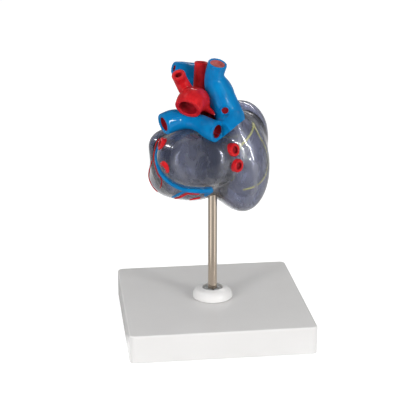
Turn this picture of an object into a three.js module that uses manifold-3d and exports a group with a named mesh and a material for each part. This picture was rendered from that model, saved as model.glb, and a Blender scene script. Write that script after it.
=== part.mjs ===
// Transparent two-part human heart on a rod stand, about three quarters of life size.
// Millimetres, +Z up. The origin is the middle of the base plate's underside. +X is the heart's own right and
// +Y its front, so a viewer on the -Y side looks at its back. The front heart wall pulls off along +Y, the
// heart lifts off the rod along +Z, and the rod turns in the collar about Z.
import * as THREE from "three";
import { mergeVertices } from "three/addons/utils/BufferGeometryUtils.js";
import Module from "manifold-3d";

const wasm = await Module();
wasm.setup();

// Fits between pieces
const seatGap = 0.3; // between a piece and what carries it
const seamGap = 0.5; // between the two halves of the heart
const runningGap = 0.12; // radial, rod in collar and in socket
const threadGap = 0.15; // radial, screw in rod

// Base plate, an open-bottomed moulding
const baseWidth = 122;
const baseDepth = 122;
const baseHeight = 18.5;
const baseCornerRadius = 4;
const baseEdgeRadius = 1.2;
const baseWall = 2.6;
const ribThickness = 2;
const ribHeight = 6;
const bossRadius = 10.5;
const bossLength = 11;

// Collar, gripper, rod and the screw that holds the rod down
const collarFootRadius = 13.5;
const collarTopRadius = 8.7;
const collarHeight = 7;
const collarLip = 0.6;
const spigotRadius = 7;
const spigotLength = 13;
const wellRadius = 6.4;
const wellDepth = 3;
const gripperHeight = 2;
const gripperSlots = 6;
const gripperSlotWidth = 1.1;
const gripperRim = 1;
const rodRadius = 3;
const rodReach = 93.5; // from the base plate's top to the socket's floor
const rodChamfer = 1;
const tenonRadius = 2.5;
const tenonLength = 6;
const threadRadius = 1.3;
const threadDepth = 7;
const screwHeadRadius = 3.2;
const screwHeadHeight = 2;
const washerRadius = 4.8;
const washerThickness = 0.8;

// Heart casting. Its heights are in its own frame, in which the socket's floor lies at socketFloor.
const socketFloor = 112;
const socketWall = 2.2;
const socketRoof = 2;
const wall = 2.6;
const lobeBlend = 8; // how softly the lobes run into each other
const heartCentre = [0, 6, 113];
const partingY = 6; // plane of the seam
const shelfHeight = 128; // above this and between the auricles the rear casting reaches forward
const shelfLeft = -21;
const shelfRight = 7;
const shelfCornerRadius = 5;
const magnetRadius = 2.5;
const magnetLength = 3;
const magnetRecess = 0.1;
const magnetBossWall = 1.4;
const magnetBossLength = 5.5;
const magnetAngles = { left: 200, right: 320, upper: 42 };

// Inner walls and valves
const septumX = 8;
const septumThickness = 3.2;
const septumTurn = 27; // degrees, how far the front septum turns to the heart's left
const floorThickness = 2.2;
const floorCentre = [0, -8.2, 112];
const floorTilt = 22; // degrees, its top leans forward
const mitral = { across: -14, rise: 0, radius: 8.6, cusps: 2 }; // across and up from the floor's centre
const tricuspid = { across: 19.5, rise: -4, radius: 8, cusps: 3 };
const valveFacets = 16;
const valveRingWall = 1.5;
const valveRingHeight = 3.4;
const cuspThickness = 0.9;
const cuspLength = 8;
const cuspTipRadius = 3;
const cuspSlotWidth = 1.4;

// Lobes of the heart's outer form: centre and half axes
const lobes = {
  leftAtrium: { centre: [-9.4, -9.6, 121], half: [28.2, 23.3, 20.5] },
  rightAtrium: { centre: [20.5, -0.8, 111.9], half: [17, 22.1, 31.3] },
  leftVentricle: { centre: [-12.6, 13.1, 110.4], half: [27.9, 29.1, 25.5] },
  rightVentricle: { centre: [17.8, 13.7, 103.9], half: [18.2, 26.7, 25.9] },
  apex: { centre: [-23.4, 29.2, 98], half: [17.2, 22.7, 15] },
  rightAuricle: { centre: [20.7, 16.3, 127.4], half: [18.7, 17.4, 23.5] },
  leftAuricle: { centre: [-25.9, 14.6, 123.5], half: [14.2, 11.6, 9.4] },
};

// Great vessels: each point is x, y, z and the vessel's outer radius there
const venaCavaPath = [
  [2, -9.2, 182.2, 6.3], [0.9, -6.2, 174.4, 6.6], [1.9, -5.2, 167.4, 8.3], [4.7, -5.2, 160.6, 9.2],
  [7.4, -5.6, 153.6, 9.4], [10.2, -6.6, 146.6, 9.4], [12.2, -7.4, 139.5, 10.2], [13, -6, 131, 10.6],
];
const leftBrachiocephalicVeinPath = [
  [-22.2, 12.8, 175.9, 4.5], [-17.5, 14.4, 173.4, 5.8], [-12, 18, 170.2, 7.4], [-2, 20, 167.2, 6.8],
  [6.5, 16, 163, 5.9], [9.5, 6, 158.8, 5.6], [8, -3, 157, 5.4],
];
const azygosVeinPath = [[6, -15.4, 152.2, 2.7], [6.4, -12, 152.6, 2.9], [7.2, -7, 153, 3.2]];
const aorticArchPath = [
  [-19, -20.4, 157.2, 7.5], [-16.3, -16, 158.8, 7.9], [-12.6, -10.4, 158.8, 8.3], [-7.8, -4, 156.6, 8.4],
  [-3.6, 3.4, 152.4, 8.2], [-1.6, 7.6, 147, 7.8], [-2, 8.4, 140, 8], [-3, 8, 131, 8.2],
];
const leftSubclavianArteryPath = [
  [-23.2, -7.4, 175.2, 4.5], [-20.9, -5.8, 170.4, 4.2], [-17.5, -5.8, 164.6, 4.5], [-13.4, -6.6, 157.5, 5.2],
];
const leftCarotidArteryPath = [
  [-6.9, 4.6, 179.6, 4.3], [-7.6, 4.2, 171.5, 4.2], [-8, 3, 163, 4.6], [-7.8, 0, 155.5, 5],
];
const brachiocephalicTrunkPath = [
  [1.8, 10.8, 176.5, 3.4], [0.6, 10.4, 169, 3.3], [-1.6, 8.8, 161, 3.7], [-3.2, 6, 154, 4.4],
];
const pulmonaryArteriesPath = [
  [-33.4, -12, 143.8, 7.2], [-26.4, -9.2, 145.5, 7.2], [-19.1, -9, 145.6, 6.2], [-13.4, -11.5, 145, 5.8],
  [-7.8, -15, 143.8, 6.2], [-3.4, -18.6, 142.2, 6.8], [0.7, -22.2, 140.7, 7.1],
];
const pulmonaryTrunkPath = [
  [-9.5, 25, 127, 7.6], [-12.5, 20, 136.5, 6.8], [-16, 10, 142, 6],
  [-17.6, 0, 144, 5.6], [-17, -9, 144.8, 5.2],
];
const mouthEdge = 0.7;
const mouthFlare = 0.25;
const mouthDepth = 6;

// Pulmonary vein stubs: a point near the surface, and the direction that the stub faces
const veinStubs = {
  left_superior_pulmonary_vein: { at: [-33.4, -12, 130.4], facing: [-0.93, -0.33, 0.1] },
  left_inferior_pulmonary_vein: { at: [-33, -16.4, 117.6], facing: [-0.85, -0.38, -0.4] },
  right_superior_pulmonary_vein: { at: [9.6, -24, 128.6], facing: [0.55, -0.8, 0.2] },
  right_inferior_pulmonary_vein: { at: [11.6, -24, 118.7], facing: [0.55, -0.83, 0] },
};
const stubRadius = 4.2;
const stubBore = 2.1;
const stubBoreDepth = 3;
const stubHeight = 2.6;

// Small vessels lying on the casting: points near its surface with the radius there
const coronarySinusPath = [
  [-37.4, -0.5, 128, 0.9], [-37.8, -2.5, 122, 1.1], [-36.4, -7, 114.6, 1.4], [-33, -11, 109, 1.7],
  [-27.6, -14, 104.5, 1.9], [-19.6, -15.5, 101.3, 2], [-12, -14.5, 100.2, 2.1], [-3.4, -11.5, 99.6, 2.3],
];
const middleCardiacVeinPath = [[-2.6, -11.2, 99.2, 1.5], [-3.6, -7.4, 95.6, 1.5], [-6.4, -3.4, 91.4, 1.3],
  [-8.4, 1, 89.4, 1.1], [-9.4, 4.6, 88.2, 0.9]];
const leftPosteriorVeinPath = [[-15.6, -14.6, 100.6, 1], [-18.6, -8.4, 96.6, 0.9], [-23.4, -2.4, 91.8, 0.8],
  [-26, 2, 89.6, 0.8]];
const leftMarginalArteryPath = [
  [-34.6, 4.4, 132, 0.8], [-37.6, 4, 126.6, 0.9], [-39.4, 4, 120, 0.9], [-38.6, 3.4, 113, 0.9],
  [-35.5, 0, 107.1, 0.8], [-33.4, -3, 102.6, 0.8], [-34, 0, 97.5, 0.8], [-35, 4, 94.6, 0.8],
];
const posteriorDescendingArteryPath = [[-8.8, -8.6, 95.6, 0.9], [-12.6, -7.8, 95.4, 0.9],
  [-17, -6, 94.4, 0.8], [-21.6, -1, 91, 0.8], [-24.6, 4, 88.6, 0.8]];
const inferiorSeptalArteryPath = [[-10.6, -1.4, 90, 0.8], [-12.8, 1.4, 88.4, 0.8], [-15.2, 4.4, 87.2, 0.8]];
const anteriorDescendingArteryPath = [[-15.6, 33, 125, 1.3], [-18.5, 38.5, 117.5, 1.3], [-21.5, 43, 109, 1.2],
  [-24.5, 46.5, 100, 1], [-26.5, 46, 91, 0.8]];
const greatCardiacVeinPath = [[-20.6, 31.6, 124.6, 1.1], [-24.4, 36.6, 116.6, 1.2], [-27.4, 41, 108, 1.1],
  [-30, 43.6, 99.6, 0.9]];
const rightCoronaryArteryPath = [[11.5, 33, 126.5, 1.4], [19, 36, 122, 1.4], [27.6, 33, 115.4, 1.3],
  [34, 24, 108, 1.2], [36, 12, 101, 1]];
const rightMarginalArteryPath = [[27.6, 33, 115.4, 1], [24.6, 37, 106, 0.9], [17.6, 38, 94, 0.8]];

// Conducting system, on the inside of the walls: points near the surface with the radius there
const sinoatrialNodePath = [[24, -5.4, 141, 1.2], [26.1, -6, 138.6, 1.9], [27.8, -7, 135.4, 1.1]];
const anteriorTractPath = [[23.9, -10.3, 133.7, 0.8], [22.1, -12, 131.5, 0.8], [18.8, -14, 129.1, 0.8],
  [15, -17, 127.4, 0.8], [12.6, -19.6, 123, 0.8]];
const posteriorTractPath = [[30, -5.4, 131.8, 0.8], [33.4, -6, 125.5, 0.8], [33.6, -9, 115, 0.8],
  [28, -14.6, 106, 0.8], [18, -17.4, 101, 0.8]];
const interatrialTractPath = [[15.6, -16, 133, 0.8], [6.5, -22, 133, 0.8], [-5.3, -23, 135, 0.8],
  [-17, -19, 135, 0.8]];
const atrioventricularNode = { y: -14, height: 108, radius: 1.9 };
const bundleRadius = 0.8;
const leftBundlePath = [[2.5, 121], [9, 116], [17, 108], [25, 100], [30, 95]]; // run along the septum, height
const rightBundlePath = [[2.5, 119], [8, 113], [15, 104], [22, 96]];

// Papillary muscles in the front half: root on the wall, tip, and radius at the root
const papillaryMuscles = {
  anterolateral_papillary_muscle: { root: [-38, 26, 100], tip: [-23, 16, 108], radius: 4.4 },
  posteromedial_papillary_muscle: { root: [-24, 24, 80], tip: [-15, 14, 101], radius: 4.4 },
  right_papillary_muscle: { root: [22, 36, 84], tip: [18, 18, 100], radius: 4 },
};

// Colours and finishes
const blue = { color: 0x0a78c4, roughness: 0.22, metalness: 0 };
const red = { color: 0xd3151c, roughness: 0.22, metalness: 0 };
const smoke = { color: 0x74778a, roughness: 0.12, metalness: 0, transparent: true, opacity: 0.55 };
const cream = { color: 0xe8e0d2, roughness: 0.35, metalness: 0 };
const yellow = { color: 0xd9c94a, roughness: 0.4, metalness: 0 };
const whitePlastic = { color: 0xe9e8e6, roughness: 0.3, metalness: 0 };
const greyPlastic = { color: 0xb9bcbd, roughness: 0.45, metalness: 0 };
const steel = { color: 0xb5aca2, roughness: 0.28, metalness: 1 };
const zinc = { color: 0x9ea1a4, roughness: 0.4, metalness: 1 };
const magnetMetal = { color: 0xc4c6c8, roughness: 0.25, metalness: 1 };

const radians = THREE.MathUtils.degToRad;
const vector = ([x, y, z]) => new THREE.Vector3(x, y, z);

// Solids and booleans
function weld(geometry) {
  const bare = geometry.clone();
  bare.deleteAttribute("normal");
  bare.deleteAttribute("uv");
  const merged = mergeVertices(bare, 1e-3);
  const corners = merged.index.array;
  const kept = [];
  for (let i = 0; i < corners.length; i += 3) {
    const [a, b, c] = [corners[i], corners[i + 1], corners[i + 2]];
    if (a !== b && b !== c && c !== a) kept.push(a, b, c);
  }
  merged.setIndex(kept);
  return merged;
}

function solidOf(geometry) {
  const welded = weld(geometry);
  return new wasm.Manifold(
    new wasm.Mesh({
      numProp: 3,
      vertProperties: new Float32Array(welded.attributes.position.array),
      triVerts: new Uint32Array(welded.index.array),
    }),
  );
}

function geometryOf(solid) {
  const mesh = solid.getMesh();
  const geometry = new THREE.BufferGeometry();
  geometry.setAttribute("position", new THREE.BufferAttribute(mesh.vertProperties, 3));
  geometry.setIndex(new THREE.BufferAttribute(mesh.triVerts, 1));
  const flat = geometry.toNonIndexed();
  flat.computeVertexNormals();
  return flat;
}

function join(...solids) {
  return solids.reduce((sum, next) => sum.add(next));
}

function cut(solid, ...tools) {
  return tools.reduce((rest, tool) => rest.subtract(tool), solid);
}

function common(...solids) {
  return solids.reduce((shared, next) => shared.intersect(next));
}

function addPiece(group, name, solid, finish) {
  const mesh = new THREE.Mesh(geometryOf(solid), new THREE.MeshStandardMaterial(finish));
  mesh.name = name;
  group.add(mesh);
}

// A turned form about Z from [radius, height] points, first and last on the axis
function turnedGeometry(profile, sides = 32) {
  const points = profile.map(([radius, height]) => new THREE.Vector2(radius, height));
  return new THREE.LatheGeometry(points, sides).rotateX(Math.PI / 2);
}

// The same with a hole through it: the profile closes on itself
function turnedRing(profile, sides) {
  return turnedGeometry([...profile, profile[0]], sides);
}

function post(radius, low, high, sides) {
  return solidOf(turnedGeometry([[0, low], [radius, low], [radius, high], [0, high]], sides));
}

function rodAlongY(radius, low, high, x, z) {
  const cylinder = new THREE.CylinderGeometry(radius, radius, high - low, 10);
  return solidOf(cylinder.translate(x, (low + high) / 2, z));
}

function block(size, middle) {
  return solidOf(new THREE.BoxGeometry(...size).translate(...middle));
}

// Moves a form made about +Z to a point, with its +Z along a direction
function aimed(geometry, at, direction) {
  const outward = direction.clone().normalize();
  const turn = new THREE.Quaternion().setFromUnitVectors(new THREE.Vector3(0, 0, 1), outward);
  const place = new THREE.Matrix4().compose(at, turn, new THREE.Vector3(1, 1, 1));
  return solidOf(weld(geometry).applyMatrix4(place));
}

// A closed skin over rings of points, each ring running anticlockwise seen from the last ring's side
function skin(rings) {
  const sides = rings[0].length;
  const last = rings.length - 1;
  const corner = (ring, k) => ring * sides + (k % sides);
  const faces = [];
  for (let ring = 0; ring < last; ring++) {
    for (let k = 0; k < sides; k++) {
      faces.push(corner(ring, k), corner(ring, k + 1), corner(ring + 1, k + 1));
      faces.push(corner(ring, k), corner(ring + 1, k + 1), corner(ring + 1, k));
    }
  }
  for (let k = 1; k + 1 < sides; k++) {
    faces.push(corner(0, 0), corner(0, k + 1), corner(0, k));
    faces.push(corner(last, 0), corner(last, k), corner(last, k + 1));
  }
  const geometry = new THREE.BufferGeometry().setFromPoints(rings.flat());
  geometry.setIndex(faces);
  return solidOf(geometry);
}

// A slab with rounded upright corners, drawn in by an inset at each [height, inset] level
function slab(width, depth, radius, levels) {
  const cornerSteps = 4;
  const rings = levels.map(([height, inset]) => {
    const ring = [];
    for (let quarter = 0; quarter < 4; quarter++) {
      const alongX = quarter === 0 || quarter === 3 ? 1 : -1;
      const alongY = quarter < 2 ? 1 : -1;
      for (let i = 0; i <= cornerSteps; i++) {
        const angle = radians(90 * (quarter + i / cornerSteps));
        const x = alongX * (width / 2 - radius) + (radius - inset) * Math.cos(angle);
        const y = alongY * (depth / 2 - radius) + (radius - inset) * Math.sin(angle);
        ring.push(new THREE.Vector3(x, y, height));
      }
    }
    return ring;
  });
  return skin(rings);
}

// The heart's outer form is a smooth union of ellipsoids: negative inside, and near the surface a distance
function lobeDistance(p, { centre, half }) {
  const [x, y, z] = [p.x - centre[0], p.y - centre[1], p.z - centre[2]];
  const scaled = Math.hypot(x / half[0], y / half[1], z / half[2]);
  const slope = Math.hypot(x / half[0] ** 2, y / half[1] ** 2, z / half[2] ** 2) + 1e-9;
  return (scaled * (scaled - 1)) / slope;
}

function bodyDistance(p) {
  return Object.values(lobes)
    .map((lobe) => lobeDistance(p, lobe))
    .reduce((distance, lobe) => {
      const mix = THREE.MathUtils.clamp(0.5 + (0.5 * (distance - lobe)) / lobeBlend, 0, 1);
      return distance * (1 - mix) + lobe * mix - lobeBlend * mix * (1 - mix);
    });
}

// How far the body reaches from its centre along a direction, where the body distance has one value
function reachAlong(direction, level) {
  const centre = vector(heartCentre);
  const probe = new THREE.Vector3();
  let near = 1;
  let far = 90;
  for (let step = 0; step < 36; step++) {
    const middle = (near + far) / 2;
    if (bodyDistance(probe.copy(centre).addScaledVector(direction, middle)) < level) near = middle;
    else far = middle;
  }
  return near;
}

// A closed surface at one body distance, sculpted from a sphere by moving each vertex out to it
function bodySurface(level, around, upwards) {
  const sphere = weld(new THREE.SphereGeometry(1, around, upwards).rotateX(Math.PI / 2));
  const position = sphere.attributes.position;
  for (let i = 0; i < position.count; i++) {
    const direction = new THREE.Vector3().fromBufferAttribute(position, i).normalize();
    const reach = reachAlong(direction, level);
    position.setXYZ(i, ...vector(heartCentre).addScaledVector(direction, reach));
  }
  return solidOf(sphere);
}

function bodySlope(p) {
  const step = 0.05;
  const here = bodyDistance(p);
  const ahead = (x, y, z) => bodyDistance(new THREE.Vector3(p.x + x, p.y + y, p.z + z)) - here;
  return new THREE.Vector3(ahead(step, 0, 0), ahead(0, step, 0), ahead(0, 0, step)).divideScalar(step);
}

// Moves a point up or down the slope until the body distance has the level asked for
function ontoSurface(point, level) {
  const p = point.clone();
  for (let i = 0; i < 8; i++) {
    const slope = bodySlope(p);
    p.addScaledVector(slope, (level - bodyDistance(p)) / Math.max(slope.lengthSq(), 1e-6));
  }
  return p;
}

// A curve through points that clings to the body at one level
class WallCurve extends THREE.Curve {
  constructor(points, level) {
    super();
    this.level = level;
    this.guide = new THREE.CatmullRomCurve3(points.map((point) => ontoSurface(point, level)));
  }
  getPoint(t, target = new THREE.Vector3()) {
    return target.copy(ontoSurface(this.guide.getPoint(t), this.level));
  }
}

// A closed pipe along a curve with a changing radius. A rounded end runs past the curve by its edge radius.
function pipe(curve, radii, { sides = 16, steps = 12, startEdge = 0, endEdge = 0, grow = 0 } = {}) {
  const frames = curve.computeFrenetFrames(steps, false);
  const spread = new THREE.SplineCurve(radii.map((radius, i) => new THREE.Vector2(i, radius)));
  const ringAt = (index, shift, inset) => {
    const along = index / steps;
    const middle = curve.getPointAt(along).addScaledVector(frames.tangents[index], shift);
    const radius = spread.getPoint(curve.getUtoTmapping(along)).y + grow - inset;
    return Array.from({ length: sides }, (_, k) => {
      const angle = (2 * Math.PI * k) / sides;
      return middle
        .clone()
        .addScaledVector(frames.normals[index], radius * Math.cos(angle))
        .addScaledVector(frames.binormals[index], radius * Math.sin(angle));
    });
  };
  const edgeAngles = [90, 45];
  const rings = [];
  for (const a of startEdge ? edgeAngles : []) {
    rings.push(ringAt(0, -grow - startEdge * Math.sin(radians(a)), startEdge * (1 - Math.cos(radians(a)))));
  }
  for (let i = 0; i <= steps; i++) {
    const shift = i === 0 ? -grow : i === steps ? grow : 0;
    rings.push(ringAt(i, shift, 0));
  }
  for (const a of endEdge ? edgeAngles.toReversed() : []) {
    rings.push(ringAt(steps, grow + endEdge * Math.sin(radians(a)), endEdge * (1 - Math.cos(radians(a)))));
  }
  return skin(rings);
}

function vesselPipe(path, options) {
  return pipe(new THREE.CatmullRomCurve3(path.map(vector)), path.map((point) => point[3]), options);
}

// A small vessel or nerve that follows the wall at one level
function wallPipe(path, { level = 0, ...options } = {}) {
  const radii = path.map((point) => point[3]);
  return pipe(new WallCurve(path.map(vector), level), radii, { sides: 8, ...options });
}

// The blind mouth at a vessel's tip, with the rim's thickness left round it
function mouth([tip, next], rim, sides) {
  const radius = tip[3] - rim;
  const recess = turnedGeometry([
    [0, -mouthDepth], [radius, -mouthDepth + 1.6], [radius, 0],
    [radius + mouthFlare, mouthEdge + 1], [0, mouthEdge + 1],
  ], sides);
  return aimed(recess, vector(tip), vector(tip).sub(vector(next)));
}

// Stand: base plate, collar, gripper, rod, washer and screw
const stand = new THREE.Group();
const collarFoot = baseHeight + seatGap;
const collarTop = collarFoot + collarHeight;
const spigotEnd = collarFoot - spigotLength;
const shoulderSeat = spigotEnd + tenonLength;
const boreRadius = rodRadius + runningGap;

function basePlate() {
  const edge = [0, 45, 90].map((angle) => [
    baseHeight - baseEdgeRadius * (1 - Math.sin(radians(angle))),
    baseEdgeRadius * (1 - Math.cos(radians(angle))),
  ]);
  const outer = slab(baseWidth, baseDepth, baseCornerRadius, [[0, 0], ...edge]);
  const ceiling = baseHeight - baseWall;
  const hollow = slab(baseWidth - 2 * baseWall, baseDepth - 2 * baseWall, baseCornerRadius - baseWall, [
    [-1, 0], [ceiling, 0],
  ]);
  const boss = post(bossRadius, baseHeight - bossLength, ceiling + baseWall / 2);
  const ribMiddle = ceiling - ribHeight / 2 + baseWall / 4;
  const ribTall = ribHeight + baseWall / 2;
  const ribs = join(
    block([baseWidth - baseWall, ribThickness, ribTall], [0, 0, ribMiddle]),
    block([ribThickness, baseDepth - baseWall, ribTall], [0, 0, ribMiddle]),
  );
  const spigotHole = post(spigotRadius + seatGap, -1, baseHeight + 1);
  return cut(join(cut(outer, hollow), boss, ribs), spigotHole);
}

function collar() {
  const dome = [0, 30, 60, 90].map((angle) => [
    collarTopRadius + (collarFootRadius - collarTopRadius) * Math.cos(radians(angle)),
    collarFoot + 0.8 + (collarHeight - 0.8 - collarLip) * Math.sin(radians(angle)),
  ]);
  return solidOf(turnedRing([
    [spigotRadius, spigotEnd], [spigotRadius, collarFoot], [collarFootRadius, collarFoot], ...dome,
    [collarTopRadius - collarLip, collarTop], [wellRadius, collarTop], [wellRadius, collarTop - wellDepth],
    [boreRadius, collarTop - wellDepth], [boreRadius, shoulderSeat],
    [tenonRadius + runningGap, shoulderSeat], [tenonRadius + runningGap, spigotEnd],
  ], 22));
}

// A split ring that centres the rod in the collar's well
function gripper() {
  const low = collarTop - wellDepth + seatGap;
  const outerRadius = wellRadius - seatGap;
  const ring = solidOf(turnedRing([
    [boreRadius, low], [outerRadius, low], [outerRadius, low + gripperHeight - 0.5],
    [outerRadius - 0.5, low + gripperHeight], [boreRadius, low + gripperHeight],
  ], 18));
  const slotReach = outerRadius - gripperRim;
  const slots = Array.from({ length: gripperSlots }, (_, i) => {
    const slot = new THREE.BoxGeometry(slotReach, gripperSlotWidth, gripperHeight + 2);
    slot.translate(slotReach / 2, 0, low + gripperHeight / 2);
    return solidOf(slot.rotateZ(radians((360 * (i + 0.5)) / gripperSlots)));
  });
  return cut(ring, ...slots);
}

const tenonEnd = spigotEnd - 0.1;
const washerTop = tenonEnd - seatGap;
const screwHeadTop = washerTop - washerThickness - seatGap;
const rodTip = baseHeight + rodReach - seatGap;

function supportRod() {
  const threadHole = threadRadius + threadGap;
  const shoulder = shoulderSeat + seatGap;
  return solidOf(turnedGeometry([
    [0, tenonEnd + threadDepth], [threadHole, tenonEnd + threadDepth], [threadHole, tenonEnd],
    [tenonRadius, tenonEnd], [tenonRadius, shoulder], [rodRadius, shoulder],
    [rodRadius, rodTip - rodChamfer], [rodRadius - rodChamfer, rodTip], [0, rodTip],
  ], 20));
}

function rodWasher() {
  const hole = threadRadius + threadGap;
  const low = washerTop - washerThickness;
  const section = [[hole, low], [washerRadius, low], [washerRadius, washerTop], [hole, washerTop]];
  return solidOf(turnedRing(section, 16));
}

function rodScrew() {
  const low = screwHeadTop - screwHeadHeight;
  const shankTip = tenonEnd + threadDepth - seatGap;
  return solidOf(turnedGeometry([
    [0, low], [screwHeadRadius * 0.6, low], [screwHeadRadius, low + screwHeadHeight * 0.6],
    [screwHeadRadius, screwHeadTop], [threadRadius, screwHeadTop], [threadRadius, shankTip], [0, shankTip],
  ], 16));
}

addPiece(stand, "base_plate", basePlate(), whitePlastic);
addPiece(stand, "rod_collar", collar(), whitePlastic);
addPiece(stand, "rod_gripper", gripper(), greyPlastic);
addPiece(stand, "support_rod", supportRod(), steel);
addPiece(stand, "rod_washer", rodWasher(), zinc);
addPiece(stand, "rod_screw", rodScrew(), zinc);

// Heart casting: an outer and an inner surface, parted into a rear and a front half
const castHeart = new THREE.Group();
castHeart.position.z = baseHeight + rodReach - socketFloor;
const outerMesh = [32, 18]; // facets around and upwards
const innerMesh = [26, 15];
const outerBody = bodySurface(0, ...outerMesh);
const clearOfBody = bodySurface(seatGap, ...outerMesh);
const cavity = bodySurface(-wall, ...innerMesh);
const fittedCavity = bodySurface(-wall - seatGap, ...innerMesh);

// The space of the front half, grown by a distance: all in front of the seam but the notch for the shelf
function frontSpace(grow) {
  const reach = 100;
  const left = shelfLeft + grow;
  const right = shelfRight - grow;
  const low = shelfHeight + grow;
  const round = shelfCornerRadius;
  const outline = new THREE.Shape();
  outline.moveTo(-reach, heartCentre[2] - reach);
  outline.lineTo(reach, heartCentre[2] - reach);
  outline.lineTo(reach, heartCentre[2] + reach);
  outline.lineTo(right, heartCentre[2] + reach);
  outline.lineTo(right, low + round);
  outline.quadraticCurveTo(right, low, right - round, low);
  outline.lineTo(left + round, low);
  outline.quadraticCurveTo(left, low, left, low + round);
  outline.lineTo(left, heartCentre[2] + reach);
  outline.lineTo(-reach, heartCentre[2] + reach);
  const space = new THREE.ExtrudeGeometry(outline, { depth: reach, bevelEnabled: false, curveSegments: 4 });
  return solidOf(space.rotateX(Math.PI / 2).translate(0, partingY - grow + reach, 0));
}

const frontHalf = frontSpace(0);
const notRear = frontSpace(seamGap);
const wellInFront = frontSpace(-seatGap);

// Magnet bosses stand inside the wall on the seam, and each holds a magnet flush with the seam
const magnetSeats = Object.entries(magnetAngles).map(([name, angle]) => {
  const direction = new THREE.Vector3(Math.cos(radians(angle)), 0, Math.sin(radians(angle)));
  const bossRadius = magnetRadius + magnetBossWall;
  const reach = reachAlong(direction, -wall) - bossRadius + wall / 2;
  return { name, x: heartCentre[0] + reach * direction.x, z: heartCentre[2] + reach * direction.z };
});
const rearRim = partingY - seamGap;
const bossLimit = bodySurface(-wall / 2, ...innerMesh);

function magnetBosses(low, high, grow) {
  const radius = magnetRadius + magnetBossWall + grow;
  return join(...magnetSeats.map(({ x, z }) => rodAlongY(radius, low - grow, high + grow, x, z)));
}

function magnetPockets(low, high) {
  return join(...magnetSeats.map(({ x, z }) => rodAlongY(magnetRadius + 0.2, low, high, x, z)));
}

const socketRadius = boreRadius + socketWall;
const socketTop = socketFloor + socketRoof;
const socketFacets = 16;
const socketClearance = post(socketRadius + seatGap, 0, socketTop + seatGap, socketFacets);

function rearShell() {
  const shell = cut(outerBody, cavity, notRear);
  const bosses = common(magnetBosses(rearRim - magnetBossLength, rearRim, 0), bossLimit);
  const pockets = magnetPockets(rearRim - magnetLength - 2 * magnetRecess, rearRim + 1);
  return cut(join(shell, bosses), pockets, socketClearance);
}

function frontShell() {
  const shell = common(cut(outerBody, cavity), frontHalf);
  const bosses = common(magnetBosses(partingY, partingY + magnetBossLength, 0), bossLimit);
  return cut(join(shell, bosses), magnetPockets(partingY - 1, partingY + magnetLength + 2 * magnetRecess));
}

// The socket is glued into the rear shell's underside, follows its surface there and takes the rod
function rodSocket() {
  const plug = common(post(socketRadius, 0, socketTop, socketFacets), outerBody);
  return cut(plug, post(boreRadius, 0, socketFloor, socketFacets));
}

addPiece(castHeart, "rear_heart_wall", rearShell(), smoke);
addPiece(castHeart, "front_heart_wall", frontShell(), smoke);
addPiece(castHeart, "rod_socket", rodSocket(), smoke);
for (const { name, x, z } of magnetSeats) {
  const rearFace = rearRim - magnetRecess;
  const frontFace = partingY + magnetRecess;
  const rear = rodAlongY(magnetRadius, rearFace - magnetLength, rearFace, x, z);
  const front = rodAlongY(magnetRadius, frontFace, frontFace + magnetLength, x, z);
  addPiece(castHeart, `rear_magnet_${name}`, rear, magnetMetal);
  addPiece(castHeart, `front_magnet_${name}`, front, magnetMetal);
}

// Inner walls: the valve floor between atria and ventricles, and the septum in three pieces
const floorDirection = new THREE.Vector3(0, Math.cos(radians(floorTilt)), -Math.sin(radians(floorTilt)));
const wide = 140;

function besideFloor(low, high) {
  const slabBox = new THREE.BoxGeometry(wide, high - low, wide).translate(0, (low + high) / 2, 0);
  return solidOf(slabBox.rotateX(-radians(floorTilt)).translate(...floorCentre));
}

function pointOnFloor({ across, rise }) {
  return vector(floorCentre).add(new THREE.Vector3(across, rise * Math.tan(radians(floorTilt)), rise));
}

const halfFloor = floorThickness / 2;
const behindFloor = besideFloor(-wide, -halfFloor - seatGap);
const beforeFloor = besideFloor(halfFloor + seatGap, wide);
const tracts = {
  sinoatrial_node: { path: sinoatrialNodePath, steps: 6 },
  anterior_internodal_tract: { path: anteriorTractPath, steps: 10 },
  posterior_internodal_tract: { path: posteriorTractPath, steps: 12 },
  interatrial_tract: { path: interatrialTractPath, steps: 10 },
};
const tractSink = 0.65; // how far a tract's middle lies inside the wall's surface
const innerLevel = -wall - seatGap - tractSink;

function tractPipe({ path, steps }, grow = 0) {
  return wallPipe(path, { level: innerLevel, sides: 6, steps, grow });
}

const clearOfTracts = join(...Object.values(tracts).map((tract) => tractPipe(tract, seatGap)));

function valveFloor() {
  const plate = common(besideFloor(-halfFloor, halfFloor), fittedCavity);
  const orifices = [mitral, tricuspid].map((valve) => {
    const through = turnedGeometry([[0, -9], [valve.radius, -9], [valve.radius, 9], [0, 9]], valveFacets);
    return aimed(through, pointOnFloor(valve), floorDirection);
  });
  const bosses = magnetBosses(rearRim - magnetBossLength, rearRim, seatGap);
  return cut(plate, ...orifices, socketClearance, notRear, bosses, clearOfTracts);
}

function septumSlab(low, high, grow = 0) {
  return block([septumThickness + 2 * grow, high - low, wide], [septumX, (low + high) / 2, heartCentre[2]]);
}

const rearSeptumSpan = [-wide / 2, rearRim];
const atrialSeptum = cut(common(septumSlab(...rearSeptumSpan), fittedCavity, behindFloor), clearOfTracts);
const rearSeptum = cut(common(septumSlab(...rearSeptumSpan), fittedCavity, beforeFloor), socketClearance);

// The front septum starts at the seam on the rear one's line and turns towards the apex
function frontSeptumSlab(grow) {
  const length = wide / 2;
  const plate = new THREE.BoxGeometry(septumThickness + 2 * grow, length, wide).translate(0, length / 2, 0);
  return solidOf(plate.rotateZ(radians(septumTurn)).translate(septumX, partingY, heartCentre[2]));
}

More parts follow.
